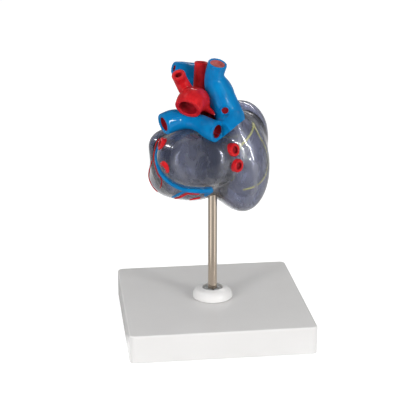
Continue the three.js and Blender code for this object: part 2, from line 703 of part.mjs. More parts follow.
function onFrontSeptum([run, height], side) {
  const along = new THREE.Vector3(-Math.sin(radians(septumTurn)), Math.cos(radians(septumTurn)), 0);
  const across = new THREE.Vector3(Math.cos(radians(septumTurn)), Math.sin(radians(septumTurn)), 0);
  return new THREE.Vector3(septumX, partingY, height)
    .addScaledVector(along, run)
    .addScaledVector(across, (side * septumThickness) / 2);
}

function bundleBranch(path, side) {
  const curve = new THREE.CatmullRomCurve3(path.map((point) => onFrontSeptum(point, side)));
  const cord = pipe(curve, path.map(() => bundleRadius), { sides: 8, steps: 10 });
  return cut(common(cord, fittedCavity, wellInFront), frontSeptumSlab(seatGap));
}

function avNode() {
  const { y, height, radius } = atrioventricularNode;
  const ball = new THREE.SphereGeometry(1, 12, 8).scale(radius, radius * 1.6, radius);
  const at = [septumX + septumThickness / 2 + radius / 3, y, height];
  const node = common(solidOf(ball.translate(...at)), fittedCavity, behindFloor);
  return cut(node, septumSlab(...rearSeptumSpan, seatGap));
}

// A valve's ring fills its orifice, and its cusps hang forward from it as a slit funnel, clear of the walls
function valve({ radius, cusps, ...place }) {
  const outer = radius - seatGap;
  const inner = outer - valveRingWall;
  const half = valveRingHeight / 2;
  const funnel = turnedRing([
    [inner, -half], [outer, -half], [outer, half], [inner + cuspThickness, half],
    [cuspTipRadius + cuspThickness, half + cuspLength], [cuspTipRadius, half + cuspLength],
    [inner, half - 0.8],
  ], valveFacets);
  const slits = Array.from({ length: cusps }, (_, i) => {
    const slit = new THREE.BoxGeometry(radius, cuspSlotWidth, cuspLength + 2);
    slit.translate(radius / 2, 0, half + 1.4 + cuspLength / 2 + 1);
    return aimed(slit.rotateZ(radians((360 * i) / cusps)), pointOnFloor(place), floorDirection);
  });
  const whole = common(aimed(funnel, pointOnFloor(place), floorDirection), fittedCavity);
  return cut(whole, ...slits, socketClearance, septumSlab(...rearSeptumSpan, seatGap));
}

// A papillary muscle is a blunt cone that stands on the inside of the front wall
function papillaryMuscle({ root, tip, radius }) {
  const direction = vector(tip).sub(vector(root));
  const length = direction.length();
  const cone = turnedGeometry([
    [0, 0], [radius, 0], [radius * 0.82, length * 0.5], [radius * 0.5, length * 0.85],
    [radius * 0.25, length * 0.97], [0, length],
  ], 10);
  const muscle = common(aimed(cone, vector(root), direction), fittedCavity, wellInFront);
  return cut(muscle, frontSeptumSlab(seatGap));
}

addPiece(castHeart, "valve_floor", valveFloor(), smoke);
addPiece(castHeart, "atrial_septum", atrialSeptum, smoke);
addPiece(castHeart, "rear_ventricular_septum", rearSeptum, smoke);
const frontSeptum = common(frontSeptumSlab(0), fittedCavity, wellInFront);
addPiece(castHeart, "front_ventricular_septum", frontSeptum, smoke);
addPiece(castHeart, "mitral_valve", valve(mitral), cream);
addPiece(castHeart, "tricuspid_valve", valve(tricuspid), cream);
for (const [name, muscle] of Object.entries(papillaryMuscles)) {
  addPiece(castHeart, name, papillaryMuscle(muscle), smoke);
}

// Conducting system, glued to the inside of the walls
const nodeClearance = tractPipe(tracts.sinoatrial_node, seatGap);
for (const [name, tract] of Object.entries(tracts)) {
  const cord = common(tractPipe(tract), fittedCavity);
  addPiece(castHeart, name, name === "sinoatrial_node" ? cord : cut(cord, nodeClearance), yellow);
}
addPiece(castHeart, "atrioventricular_node", avNode(), yellow);
addPiece(castHeart, "left_bundle_branch", bundleBranch(leftBundlePath, -1), yellow);
addPiece(castHeart, "right_bundle_branch", bundleBranch(rightBundlePath, 1), yellow);

// Great vessels stand on the rear half, each cut back from the casting and from its neighbours
const largeSides = 12;
const middleSides = 10;
const smallSides = 8;

function venaCava(grow = 0) {
  return join(
    vesselPipe(venaCavaPath, { sides: largeSides, steps: 9, startEdge: mouthEdge, grow }),
    vesselPipe(leftBrachiocephalicVeinPath, { sides: middleSides, steps: 8, startEdge: mouthEdge, grow }),
    vesselPipe(azygosVeinPath, { sides: smallSides, steps: 2, startEdge: mouthEdge, grow }),
  );
}

function aorta(grow = 0) {
  return join(
    vesselPipe(aorticArchPath, { sides: largeSides, steps: 9, startEdge: mouthEdge, grow }),
    vesselPipe(leftSubclavianArteryPath, { sides: smallSides, steps: 4, startEdge: mouthEdge, grow }),
    vesselPipe(leftCarotidArteryPath, { sides: smallSides, steps: 4, startEdge: mouthEdge, grow }),
    vesselPipe(brachiocephalicTrunkPath, { sides: smallSides, steps: 4, startEdge: mouthEdge, grow }),
  );
}

function pulmonaryArtery() {
  return join(
    vesselPipe(pulmonaryArteriesPath, {
      sides: largeSides, steps: 8, startEdge: mouthEdge, endEdge: mouthEdge,
    }),
    vesselPipe(pulmonaryTrunkPath, { sides: middleSides, steps: 6 }),
  );
}

const cavaSolid = cut(
  venaCava(),
  clearOfBody,
  mouth(venaCavaPath, 1.35, largeSides),
  mouth(leftBrachiocephalicVeinPath, 2.2, middleSides),
  mouth(azygosVeinPath, 0.9, smallSides),
);
const clearOfCava = venaCava(seatGap);
const aortaSolid = cut(
  aorta(),
  clearOfBody,
  clearOfCava,
  mouth(aorticArchPath, 2.2, largeSides),
  mouth(leftSubclavianArteryPath, 2.4, smallSides),
  mouth(leftCarotidArteryPath, 1.6, smallSides),
  mouth(brachiocephalicTrunkPath, 1.3, smallSides),
);
const pulmonarySolid = cut(
  pulmonaryArtery(),
  clearOfBody,
  clearOfCava,
  aorta(seatGap),
  mouth(pulmonaryArteriesPath, 2.6, largeSides),
  mouth(pulmonaryArteriesPath.toReversed(), 2.6, largeSides),
);
addPiece(castHeart, "vena_cava", cavaSolid, blue);
addPiece(castHeart, "aorta", aortaSolid, red);
addPiece(castHeart, "pulmonary_artery", pulmonarySolid, blue);

// Pulmonary vein stubs are short open rings on the left atrium
function veinStub({ at, facing }) {
  const outward = vector(facing);
  const buried = 6;
  const stub = turnedGeometry([
    [0, -buried], [stubRadius + 0.5, -buried],
    [stubRadius, stubHeight - 0.8], [stubRadius - 0.8, stubHeight], [stubBore, stubHeight],
    [stubBore, stubHeight - stubBoreDepth], [0, stubHeight - stubBoreDepth],
  ], 12);
  return cut(aimed(stub, ontoSurface(vector(at), 0), outward), clearOfBody);
}

for (const [name, stub] of Object.entries(veinStubs)) addPiece(castHeart, name, veinStub(stub), red);

// Small vessels on the outside of each half
const rearVessels = {
  coronary_sinus: { finish: blue, paths: [coronarySinusPath, middleCardiacVeinPath, leftPosteriorVeinPath] },
  left_marginal_artery: { finish: red, paths: [leftMarginalArteryPath] },
  posterior_descending_artery: { finish: red, paths: [posteriorDescendingArteryPath] },
  inferior_septal_artery: { finish: red, paths: [inferiorSeptalArteryPath] },
};
const frontVessels = {
  anterior_descending_artery: { finish: red, paths: [anteriorDescendingArteryPath] },
  great_cardiac_vein: { finish: blue, paths: [greatCardiacVeinPath] },
  right_coronary_artery: { finish: red, paths: [rightCoronaryArteryPath, rightMarginalArteryPath] },
};

function smallVessel(paths) {
  const runs = paths.map((path) => wallPipe(path, { sides: 6, steps: 2 * (path.length - 1) }));
  return cut(join(...runs), clearOfBody);
}

for (const [name, { finish, paths }] of Object.entries(rearVessels)) {
  addPiece(castHeart, name, cut(smallVessel(paths), notRear, socketClearance), finish);
}
for (const [name, { finish, paths }] of Object.entries(frontVessels)) {
  addPiece(castHeart, name, common(smallVessel(paths), frontHalf), finish);
}

const model = new THREE.Group();
model.add(stand, castHeart);
export default model;
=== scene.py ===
import math

import bmesh
import bpy
import numpy as np
from mathutils import Matrix, Quaternion, Vector


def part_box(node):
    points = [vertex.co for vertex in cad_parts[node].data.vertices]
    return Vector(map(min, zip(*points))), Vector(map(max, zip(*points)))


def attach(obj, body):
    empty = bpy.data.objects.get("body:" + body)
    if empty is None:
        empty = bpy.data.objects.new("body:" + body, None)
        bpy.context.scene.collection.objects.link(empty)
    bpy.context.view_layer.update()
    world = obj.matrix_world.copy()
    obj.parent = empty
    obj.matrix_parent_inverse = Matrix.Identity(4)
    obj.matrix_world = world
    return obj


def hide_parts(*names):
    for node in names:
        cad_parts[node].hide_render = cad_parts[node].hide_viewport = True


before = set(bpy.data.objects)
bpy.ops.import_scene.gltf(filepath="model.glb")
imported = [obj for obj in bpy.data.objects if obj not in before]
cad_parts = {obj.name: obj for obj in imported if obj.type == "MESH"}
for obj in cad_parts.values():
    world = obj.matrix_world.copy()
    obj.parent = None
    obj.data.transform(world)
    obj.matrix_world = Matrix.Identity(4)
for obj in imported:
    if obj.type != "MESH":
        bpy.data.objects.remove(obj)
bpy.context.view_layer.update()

# Base plate
# A moulding of glossy white plastic, 122 mm square and open underneath, stiffened by a cross of ribs and a
# boss under its top. The top edge and the upright corners are rounded. The collar's spigot goes through it.
mm = 0.001
plate_low, plate_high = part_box("base_plate")
plate_size = plate_high - plate_low
plate_corner_radius = 4 * mm
plate_edge_radius = 1.2 * mm
plate_wall = 2.6 * mm
rib_thickness = 2 * mm
rib_height = 6 * mm
boss_radius = 10.5 * mm
boss_length = 11 * mm
spigot_hole_radius = 7.3 * mm
plate_white = (0.80, 0.79, 0.78, 1)
plate_shade = (0.775, 0.765, 0.755, 1)


def make_piece(name, bm):
    """An object at the origin from a bmesh, which is used up."""
    mesh = bpy.data.meshes.new(name)
    bm.to_mesh(mesh)
    bm.free()
    piece = bpy.data.objects.new(name, mesh)
    bpy.context.scene.collection.objects.link(piece)
    return piece


def apply_modifiers(piece):
    graph = bpy.context.evaluated_depsgraph_get()
    mesh = bpy.data.meshes.new_from_object(piece.evaluated_get(graph), depsgraph=graph)
    piece.modifiers.clear()
    plain, piece.data = piece.data, mesh
    bpy.data.meshes.remove(plain)


def combine(piece, tool, operation, keep_tool=False):
    """Cuts a closed piece by a closed tool, joins them or keeps what they share."""
    step = piece.modifiers.new(operation.lower(), "BOOLEAN")
    step.object = tool
    step.operation = operation
    step.solver = "MANIFOLD"
    apply_modifiers(piece)
    if not keep_tool:
        bpy.data.objects.remove(tool)


def shade(piece, crease=38):
    piece.data.shade_smooth()
    piece.data.set_sharp_from_angle(angle=math.radians(crease))


def paint(piece, *materials):
    """Gives a piece its materials. Clearing none would still put a new mesh's faces in the first slot."""
    if piece.data.materials:
        piece.data.materials.clear()
    for material in materials:
        piece.data.materials.append(material)


def seat(piece, body, node):
    """A finished piece rides on its body and stands for its node, which is hidden."""
    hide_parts(node)
    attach(piece, body)


def node_group(name, inputs, outputs):
    group = bpy.data.node_groups.new(name, "ShaderNodeTree")
    for label, kind, value in inputs:
        group.interface.new_socket(label, in_out="INPUT", socket_type=kind).default_value = value
    for label, kind in outputs:
        group.interface.new_socket(label, in_out="OUTPUT", socket_type=kind)
    return group, group.nodes.new("NodeGroupInput").outputs, group.nodes.new("NodeGroupOutput").inputs


def add_node(tree, kind, inputs=(), **settings):
    """A node with its settings, and with its inputs given as values or as the outputs that feed them."""
    node = tree.nodes.new(kind)
    for key, value in settings.items():
        setattr(node, key, value)
    for key, value in dict(inputs).items():
        if isinstance(value, bpy.types.NodeSocket):
            tree.links.new(value, node.inputs[key])
        else:
            node.inputs[key].default_value = value
    return node


def number(tree, operation, *values):
    return add_node(tree, "ShaderNodeMath", dict(enumerate(values)), operation=operation).outputs[0]


def blend_colours(tree, factor, first, second):
    """A colour between two colours. The Mix node's colour sockets are its inputs 6 and 7 and its output 2."""
    return add_node(tree, "ShaderNodeMix", {0: factor, 6: first, 7: second}, data_type="RGBA").outputs[2]


# Moulded and painted skins share one set of patches: broad drifts of colour, finer drifts of gloss, and a
# skin that isn't quite flat. The patches are steady in space, so they fit every piece at the same scale.
skin_group, skin_in, skin_out = node_group(
    "moulded_skin",
    [
        ("Colour", "NodeSocketColor", plate_white),
        ("Second Colour", "NodeSocketColor", plate_shade),
        ("Patches per Metre", "NodeSocketFloat", 60.0),
        ("Gloss", "NodeSocketFloat", 0.3),
        ("Gloss Change", "NodeSocketFloat", 0.1),
    ],
    [("Colour", "NodeSocketColor"), ("Roughness", "NodeSocketFloat"), ("Height", "NodeSocketFloat")],
)
place = add_node(skin_group, "ShaderNodeTexCoord").outputs["Object"]
drift = add_node(
    skin_group, "ShaderNodeTexNoise", {"Vector": place, "Scale": skin_in["Patches per Metre"], "Detail": 3.0}
)
finer = number(skin_group, "MULTIPLY", skin_in["Patches per Metre"], 7.0)
grain = add_node(skin_group, "ShaderNodeTexNoise", {"Vector": place, "Scale": finer, "Detail": 2.0})
mask = add_node(
    skin_group, "ShaderNodeMapRange", {"Value": drift.outputs[0], "From Min": 0.35, "From Max": 0.65}
).outputs[0]
tint = blend_colours(skin_group, mask, skin_in["Colour"], skin_in["Second Colour"])
centred = number(skin_group, "SUBTRACT", grain.outputs[0], 0.5)
change = number(skin_group, "MULTIPLY", centred, skin_in["Gloss Change"])
skin_group.links.new(tint, skin_out["Colour"])
skin_group.links.new(number(skin_group, "ADD", skin_in["Gloss"], change), skin_out["Roughness"])
skin_group.links.new(grain.outputs[0], skin_out["Height"])


def new_material(name):
    material = bpy.data.materials.new(name)
    material.use_nodes = True
    return material, material.node_tree, material.node_tree.nodes["Principled BSDF"]


def surface(tree, shader, colour, roughness, height, relief):
    """Feeds a shader its colour, its roughness and its unevenness, whose relief is in metres."""
    uneven = add_node(tree, "ShaderNodeBump", {"Height": height, "Distance": relief})
    tree.links.new(colour, shader.inputs["Base Color"])
    tree.links.new(roughness, shader.inputs["Roughness"])
    tree.links.new(uneven.outputs[0], shader.inputs["Normal"])


def skin_material(name, colour, second, patches, gloss, gloss_change, relief, coat=0.0, shine=0.5):
    """A moulded or painted finish. Shine is the gloss under its coat."""
    material, tree, shader = new_material(name)
    values = {
        "Colour": colour, "Second Colour": second, "Patches per Metre": patches,
        "Gloss": gloss, "Gloss Change": gloss_change,
    }
    skin = add_node(tree, "ShaderNodeGroup", values, node_tree=skin_group).outputs
    surface(tree, shader, skin["Colour"], skin["Roughness"], skin["Height"], relief)
    shader.inputs["Specular IOR Level"].default_value = shine
    shader.inputs["Coat Weight"].default_value = coat
    shader.inputs["Coat Roughness"].default_value = 0.04
    return material


def post(radius, low, high, segments=64):
    bm = bmesh.new()
    middle = Matrix.Translation((0, 0, (low + high) / 2))
    bmesh.ops.create_cone(
        bm, cap_ends=True, segments=segments, radius1=radius, radius2=radius, depth=high - low, matrix=middle
    )
    return bm


def block(size, middle):
    bm = bmesh.new()
    bmesh.ops.create_cube(bm, size=1, matrix=Matrix.Translation(middle) @ Matrix.Diagonal((*size, 1)))
    return bm


def pull_out(bm, faces, offset, keep=False):
    """Extrudes faces and moves the new ones. The old ones go unless they are kept."""
    made = bmesh.ops.extrude_face_region(bm, geom=faces, use_keep_orig=keep)["geom"]
    bmesh.ops.translate(bm, vec=offset, verts=[v for v in made if isinstance(v, bmesh.types.BMVert)])


def hollow_plate():
    bm = block(plate_size, (plate_low + plate_high) / 2)
    uprights = [e for e in bm.edges if abs(e.verts[0].co.z - e.verts[1].co.z) > plate_size.z / 2]
    bmesh.ops.bevel(
        bm, geom=uprights, affect="EDGES", offset=plate_corner_radius, segments=12, profile=0.5, material=-1
    )
    top_edges = [e for e in bm.edges if all(v.co.z > plate_high.z - mm for v in e.verts)]
    bmesh.ops.bevel(
        bm, geom=top_edges, affect="EDGES", offset=plate_edge_radius, segments=6, profile=0.5, material=-1
    )
    underside = min(bm.faces, key=lambda face: face.calc_center_median().z)
    bmesh.ops.inset_region(bm, faces=[underside], thickness=plate_wall)
    pull_out(bm, [underside], (0, 0, plate_size.z - plate_wall))
    bmesh.ops.delete(bm, geom=[underside], context="FACES_ONLY")
    return bm


plate = make_piece("moulded_base_plate", hollow_plate())
ceiling = plate_high.z - plate_wall
rib_middle = ceiling - rib_height / 2 + plate_wall / 4
rib_tall = rib_height + plate_wall / 2
rib_length = plate_size.x - plate_wall
for width, depth in ((rib_length, rib_thickness), (rib_thickness, rib_length)):
    combine(plate, make_piece("rib", block((width, depth, rib_tall), (0, 0, rib_middle))), "UNION")
combine(plate, make_piece("boss", post(boss_radius, plate_high.z - boss_length, ceiling + mm)), "UNION")
combine(plate, make_piece("hole", post(spigot_hole_radius, -mm, plate_high.z + mm)), "DIFFERENCE")
shade(plate)
plate.modifiers.new("flat_tops", "WEIGHTED_NORMAL").keep_sharp = True
white_plastic = skin_material("white_plastic", plate_white, plate_shade, 18, 0.24, 0.10, 0.000005)
paint(plate, white_plastic)
seat(plate, "stand", "base_plate")

# Collar, gripper, rod and screw
# The white collar is turned, with a domed skirt, a raised lip and a well. A slotted grey ring in the well
# centres the drawn steel rod, whose thin lower end is held from below by a washer and a screw.
collar_low, collar_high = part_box("rod_collar")
gripper_low, gripper_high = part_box("rod_gripper")
rod_low, rod_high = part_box("support_rod")
collar_foot = plate_high.z + 0.3 * mm
collar_foot_radius = 13.5 * mm
collar_top_radius = 8.7 * mm
collar_skirt = 0.8 * mm
collar_edge = 0.4 * mm
lip_radius = 0.75 * mm
spigot_radius = 7 * mm
well_radius = 6.4 * mm
well_depth = 3 * mm
rod_radius = 3 * mm
bore_radius = 3.12 * mm
tenon_radius = 2.5 * mm
tenon_length = 6 * mm
tenon_clearance = 0.12 * mm
shoulder_gap = 0.3 * mm
thread_hole_radius = 1.45 * mm
thread_depth = 7 * mm
rod_chamfer = 1 * mm
gripper_slots = 6
gripper_slot_width = 1.1 * mm
gripper_slot_height = 4 * mm
gripper_rim = 1 * mm
gripper_edge = 0.5 * mm
gripper_play = 0.3 * mm


def arc(centre, radius, start, end, steps):
    """Points of a round stretch in a turned profile, between two angles in degrees."""
    angles = [math.radians(start + (end - start) * i / steps) for i in range(steps + 1)]
    return [(centre[0] + radius * math.cos(a), centre[1] + radius * math.sin(a)) for a in angles]


def turned(profile, closed=False, segments=72):
    """A form turned about Z from points of radius and height, which end on the axis or make a closed ring."""
    bm = bmesh.new()
    corners = [bm.verts.new((radius, 0, height)) for radius, height in profile]
    following = corners[1:] + corners[:1] if closed else corners[1:]
    edges = [bm.edges.new(pair) for pair in zip(corners, following)]
    bmesh.ops.spin(
        bm, geom=[*corners, *edges], cent=(0, 0, 0), axis=(0, 0, 1), angle=2 * math.pi,
        steps=segments, use_merge=True,
    )
    bmesh.ops.remove_doubles(bm, verts=bm.verts, dist=1e-6)
    bmesh.ops.recalc_face_normals(bm, faces=bm.faces)
    return bm


def collar_profile():
    skirt_height = collar_high.z - collar_foot - collar_skirt - 0.5 * lip_radius
    skirt = [
        (
            collar_top_radius + (collar_foot_radius - collar_top_radius) * math.cos(math.radians(a)),
            collar_foot + collar_skirt + skirt_height * math.sin(math.radians(a)),
        )
        for a in range(0, 76, 5)
    ]
    lip_centre = (well_radius + 1.35 * lip_radius, collar_high.z - lip_radius)
    floor = collar_high.z - well_depth
    shoulder = collar_low.z + tenon_length
    tenon_hole_radius = tenon_radius + tenon_clearance
    return [
        (spigot_radius, collar_low.z), (spigot_radius, collar_foot),
        (collar_foot_radius - collar_edge, collar_foot), (collar_foot_radius, collar_foot + collar_edge),
        *skirt, *arc(lip_centre, lip_radius, 60, 180, 10),
        (well_radius, collar_high.z - 2 * lip_radius), (well_radius, floor), (bore_radius, floor),
        (bore_radius, shoulder), (tenon_hole_radius, shoulder), (tenon_hole_radius, collar_low.z),
    ]


collar = make_piece("turned_collar", turned(collar_profile(), closed=True))
paint(collar, white_plastic)
shade(collar)
seat(collar, "stand", "rod_collar")

gripper_radius = well_radius - gripper_play
gripper_profile = [
    (bore_radius, gripper_low.z), (gripper_radius, gripper_low.z),
    *arc((gripper_radius - gripper_edge, gripper_high.z - gripper_edge), gripper_edge, 0, 90, 4),
    (bore_radius, gripper_high.z),
]
gripper = make_piece("slotted_gripper", turned(gripper_profile, closed=True))
slot_reach = gripper_radius - gripper_rim
for i in range(gripper_slots):
    slot_size = (slot_reach, gripper_slot_width, gripper_slot_height)
    slot = block(slot_size, (slot_reach / 2, 0, gripper_high.z - mm))
    turn = Matrix.Rotation(2 * math.pi * (i + 0.5) / gripper_slots, 4, "Z")
    bmesh.ops.transform(slot, matrix=turn, verts=slot.verts)
    combine(gripper, make_piece("slot", slot), "DIFFERENCE")
grey_plastic = skin_material(
    "grey_plastic", (0.42, 0.43, 0.43, 1), (0.36, 0.37, 0.37, 1), 250, 0.42, 0.15, 0.00001
)
paint(gripper, grey_plastic)
shade(gripper)
seat(gripper, "stand", "rod_gripper")


drawn_relief = 0.000008


def steel_material(name, colour, second, stretch, gloss):
    """Metal with fine lines that are drawn out along one axis and drifts of colour between them."""
    material, tree, shader = new_material(name)
    here = add_node(tree, "ShaderNodeTexCoord").outputs["Object"]
    drawn = add_node(tree, "ShaderNodeMapping", {"Vector": here, "Scale": stretch}).outputs[0]
    lines = add_node(tree, "ShaderNodeTexNoise", {"Vector": drawn, "Scale": 1.0, "Detail": 4.0}).outputs[0]
    tone = blend_colours(tree, lines, colour, second)
    rough = add_node(
        tree, "ShaderNodeMapRange", {"Value": lines, "To Min": gloss - 0.06, "To Max": gloss + 0.08}
    )
    surface(tree, shader, tone, rough.outputs[0], lines, drawn_relief)
    shader.inputs["Metallic"].default_value = 1.0
    return material


thread_end = rod_low.z + thread_depth
rod_shoulder = collar_low.z + tenon_length + shoulder_gap
rod_profile = [
    (0, thread_end), (thread_hole_radius, thread_end), (thread_hole_radius, rod_low.z),
    (tenon_radius, rod_low.z), (tenon_radius, rod_shoulder), (rod_radius, rod_shoulder),
    (rod_radius, rod_high.z - rod_chamfer), (rod_radius - rod_chamfer, rod_high.z), (0, rod_high.z),
]
rod = make_piece("drawn_steel_rod", turned(rod_profile))
drawn_steel = steel_material(
    "drawn_steel", (0.73, 0.62, 0.51, 1), (0.54, 0.45, 0.36, 1), (2600, 2600, 60), 0.17
)
paint(rod, drawn_steel)
shade(rod)
seat(rod, "rod", "support_rod")

zinc = steel_material("plated_zinc", (0.55, 0.56, 0.57, 1), (0.42, 0.43, 0.45, 1), (900, 900, 900), 0.38)
for name in ("rod_washer", "rod_screw"):
    paint(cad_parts[name], zinc)

# Heart casting
# Two shells of clear, smoke-tinted resin that meet at an upright seam, where magnets in bosses hold them. The
# rear shell has a shelf that carries the great vessels and a stump that rises into the vena cava.
lobe_blend = 8
stump_ends = ((12.7, -7.4, 137.6), (10.2, -6.6, 146.6))
stump_radii = (10.0, 9.1)
stump_blend = 10
flat_facing = (-0.12, -0.95, 0.28)
flat_reach = 20.8
flat_blend = 2.5
# Each lobe's centre and half sizes. Places are the casting's own, in millimetres, until it is seated.
lobes = {
    "left_atrium": ((-9.4, -9.6, 121), (28.2, 23.3, 20.5)),
    "right_atrium": ((20.5, -0.8, 111.9), (17, 22.1, 31.3)),
    "left_ventricle": ((-12.6, 13.1, 110.4), (27.9, 29.1, 25.5)),
    "right_ventricle": ((17.8, 13.7, 103.9), (18.2, 26.7, 25.9)),
    "apex": ((-23.4, 29.2, 98), (17.2, 22.7, 15)),
    "right_auricle": ((20.7, 16.3, 127.4), (18.7, 17.4, 23.5)),
    "left_auricle": ((-25.9, 14.6, 123.5), (14.2, 11.6, 9.4)),
}
heart_centre = np.array([0, 6, 113.0])
shortest_reach = 1.0
longest_reach = 90.0
halvings = 28
socket_floor = 112
seat_gap = 0.3
heart_rise = rod_high.z + (seat_gap - socket_floor) * mm
cast_wall = 2.6
seam_y = 6
seam_gap = 0.1
shelf_height = 128
shelf_left = -21
shelf_right = 7
shelf_corner_radius = 5
magnet_boss_radius = 3.9
magnet_boss_length = 5.5
socket_hole_radius = 5.62
socket_hole_top = 114.3
pocket_play = 0.25
pocket_end_play = 0.2
outer_wave = 0.045


def soft_union(first, second, blend):
    mix = np.clip(0.5 + 0.5 * (first - second) / blend, 0, 1)
    return first * (1 - mix) + second * mix - blend * mix * (1 - mix)


def body_distance(points):
    """How far points lie outside the heart's form, in millimetres: a soft union of ellipsoids and a clear
    stump, with a flat on the back of the left atrium."""
    total = None
    for centre, half in lobes.values():
        offset = points - np.array(centre)
        scaled = np.linalg.norm(offset / np.array(half), axis=-1)
        slope = np.linalg.norm(offset / np.array(half) ** 2, axis=-1) + 1e-9
        lobe = scaled * (scaled - 1) / slope
        total = lobe if total is None else soft_union(total, lobe, lobe_blend)
    foot, head = np.array(stump_ends)
    along = np.clip((points - foot) @ (head - foot) / ((head - foot) @ (head - foot)), 0, 1)
    middle = foot + along[..., None] * (head - foot)
    radius = stump_radii[0] + along * (stump_radii[1] - stump_radii[0])
    total = soft_union(total, np.linalg.norm(points - middle, axis=-1) - radius, stump_blend)
    beyond_flat = (points - np.array(lobes["left_atrium"][0])) @ np.array(flat_facing) - flat_reach
    return -soft_union(-total, -beyond_flat, flat_blend)


def cast_skin(name, level, ripple=None):
    """A ball whose points are pushed out along their own directions until the heart's form has one level."""
    bm = bmesh.new()
    bmesh.ops.create_icosphere(bm, subdivisions=6, radius=1)
    directions = np.array([v.co.normalized() for v in bm.verts])
    near = np.full(len(directions), shortest_reach)
    far = np.full(len(directions), longest_reach)
    for _ in range(halvings):
        middle = (near + far) / 2
        points = heart_centre + directions * middle[:, None]
        wanted = level if ripple is None else level + ripple(points)
        inside = body_distance(points) < wanted
        near = np.where(inside, middle, near)
        far = np.where(inside, far, middle)
    for vert, point in zip(bm.verts, heart_centre + directions * near[:, None]):
        vert.co = point * mm
    return make_piece(name, bm)


def inner_relief(points):
    """The wall's inside isn't smooth: muscle ridges down the right atrium, and soft hollows elsewhere."""
    x, y, z = points.T
    ridges = np.sin((x - 0.5 * y) * 1.7 + 0.06 * z)
    ridges = ridges * np.clip((x - 12) / 8, 0, 1) * np.clip((122 - z) / 12, 0, 1)
    hollows = np.sin(x * 0.62 + 1.3) * np.sin(y * 0.5 + z * 0.33) * np.sin(z * 0.55 - x * 0.21)
    return 0.07 * ridges + 0.06 * hollows


def outer_relief(points):
    """The outside has the slow waves of a polished casting, strongest on the left atrium."""
    x, y, z = points.T
    waves = np.sin(0.83 * x + 0.6 * z + 1.1 * np.sin(0.31 * z)) * np.sin(0.71 * z - 0.45 * x + 0.5 * y)
    return outer_wave * waves * (0.35 + 0.65 * np.clip((4 - x) / 14, 0, 1))


def front_space(grow):
    """All in front of the seam but the notch for the rear shell's shelf, grown by a distance."""
    reach = 100 * mm
    y = (seam_y - grow) * mm
    left, right = (shelf_left + grow) * mm, (shelf_right - grow) * mm
    low, bottom, top = (shelf_height + grow) * mm, 20 * mm, 220 * mm
    bm = bmesh.new()
    outline = [
        (-reach, bottom), (reach, bottom), (reach, top), (right, top), (right, low), (left, low),
        (left, top), (-reach, top),
    ]
    face = bm.faces.new([bm.verts.new((x, y, z)) for x, z in outline])
    corners = [v for v in face.verts if abs(v.co.z - low) < 1e-6]
    bmesh.ops.bevel(
        bm, geom=corners, affect="VERTICES", offset=shelf_corner_radius * mm, segments=8, profile=0.5,
        material=-1,
    )
    pull_out(bm, list(bm.faces), (0, reach, 0), keep=True)
    bmesh.ops.recalc_face_normals(bm, faces=bm.faces)
    return make_piece("front_space", bm)


def copy_of(piece):
    double = piece.copy()
    double.data = piece.data.copy()
    bpy.context.scene.collection.objects.link(double)
    return double


def seat_on_heart(piece, body, node):
    """Lifts a finished piece from the casting's own heights to its place on the rod, and seats it."""
    piece.data.transform(Matrix.Translation((0, 0, heart_rise)))
    seat(piece, body, node)


def post_along_y(radius, start, end, x, z):
    bm = post(radius, start, end, 32)
    bmesh.ops.rotate(bm, verts=bm.verts, matrix=Matrix.Rotation(math.radians(-90), 3, "X"))
    bmesh.ops.translate(bm, verts=bm.verts, vec=(x, 0, z))
    return bm


def magnet_boss(name):
    """A round boss behind or in front of a magnet, kept inside the wall, and the pocket for the magnet."""
    low, high = (corner - Vector((0, 0, heart_rise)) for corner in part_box(name))
    middle = (low + high) / 2
    if name.startswith("rear"):
        start, end = (seam_y - seam_gap - magnet_boss_length) * mm, (seam_y - seam_gap) * mm
    else:
        start, end = seam_y * mm, (seam_y + magnet_boss_length) * mm
    boss = make_piece("boss", post_along_y(magnet_boss_radius * mm, start, end, middle.x, middle.z))
    combine(boss, mid_wall, "INTERSECT", keep_tool=True)
    start, end = low.y - pocket_end_play * mm, high.y + pocket_end_play * mm
    pocket = post_along_y((high.x - low.x) / 2 + pocket_play * mm, start, end, middle.x, middle.z)
    return boss, make_piece("pocket", pocket)


outer_skin = cast_skin("outer_skin", 0, outer_relief)
cavity = cast_skin("cavity", -cast_wall, inner_relief)
mid_wall = cast_skin("mid_wall", -cast_wall / 2)
rear_wall = copy_of(outer_skin)
rear_wall.name = "rear_cast_wall"
combine(rear_wall, cavity, "DIFFERENCE", keep_tool=True)
front_wall = copy_of(rear_wall)
front_wall.name = "front_cast_wall"
combine(rear_wall, front_space(seam_gap), "DIFFERENCE")
combine(front_wall, front_space(0), "INTERSECT")
magnets = [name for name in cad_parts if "_magnet_" in name]
for name in magnets:
    half = rear_wall if name.startswith("rear") else front_wall
    boss, pocket = magnet_boss(name)
    combine(half, boss, "UNION")
    combine(half, pocket, "DIFFERENCE")
socket_hole = make_piece("socket_hole", post(socket_hole_radius * mm, 0, socket_hole_top * mm, 48))
combine(rear_wall, socket_hole, "DIFFERENCE")

# Smoke-tinted resin with painted shade, darker at the left and in the middle, and with milky streaks, a
# hazy skin with slow waves and a clear varnish. A fine dark line of painted shade runs along the seam.
seam_middle = (seam_y - seam_gap / 2) * mm
seam_line_width = 1.4 * mm
# Painted shade: the colour of a fine dark line along the seam.
painted_seam_shade = (0.02, 0.02, 0.03, 1)
resin_relief = 0.000025
# How pale the resin is at points across the heart, from its left edge to the right atrium. The dark bands are
# painted shade.
painted_shade_bands = ((0.0, 0.0), (0.2, 0.08), (0.34, 0.8), (0.5, 0.25), (0.62, 0.08), (0.84, 0.75), (1.0, 1.0))


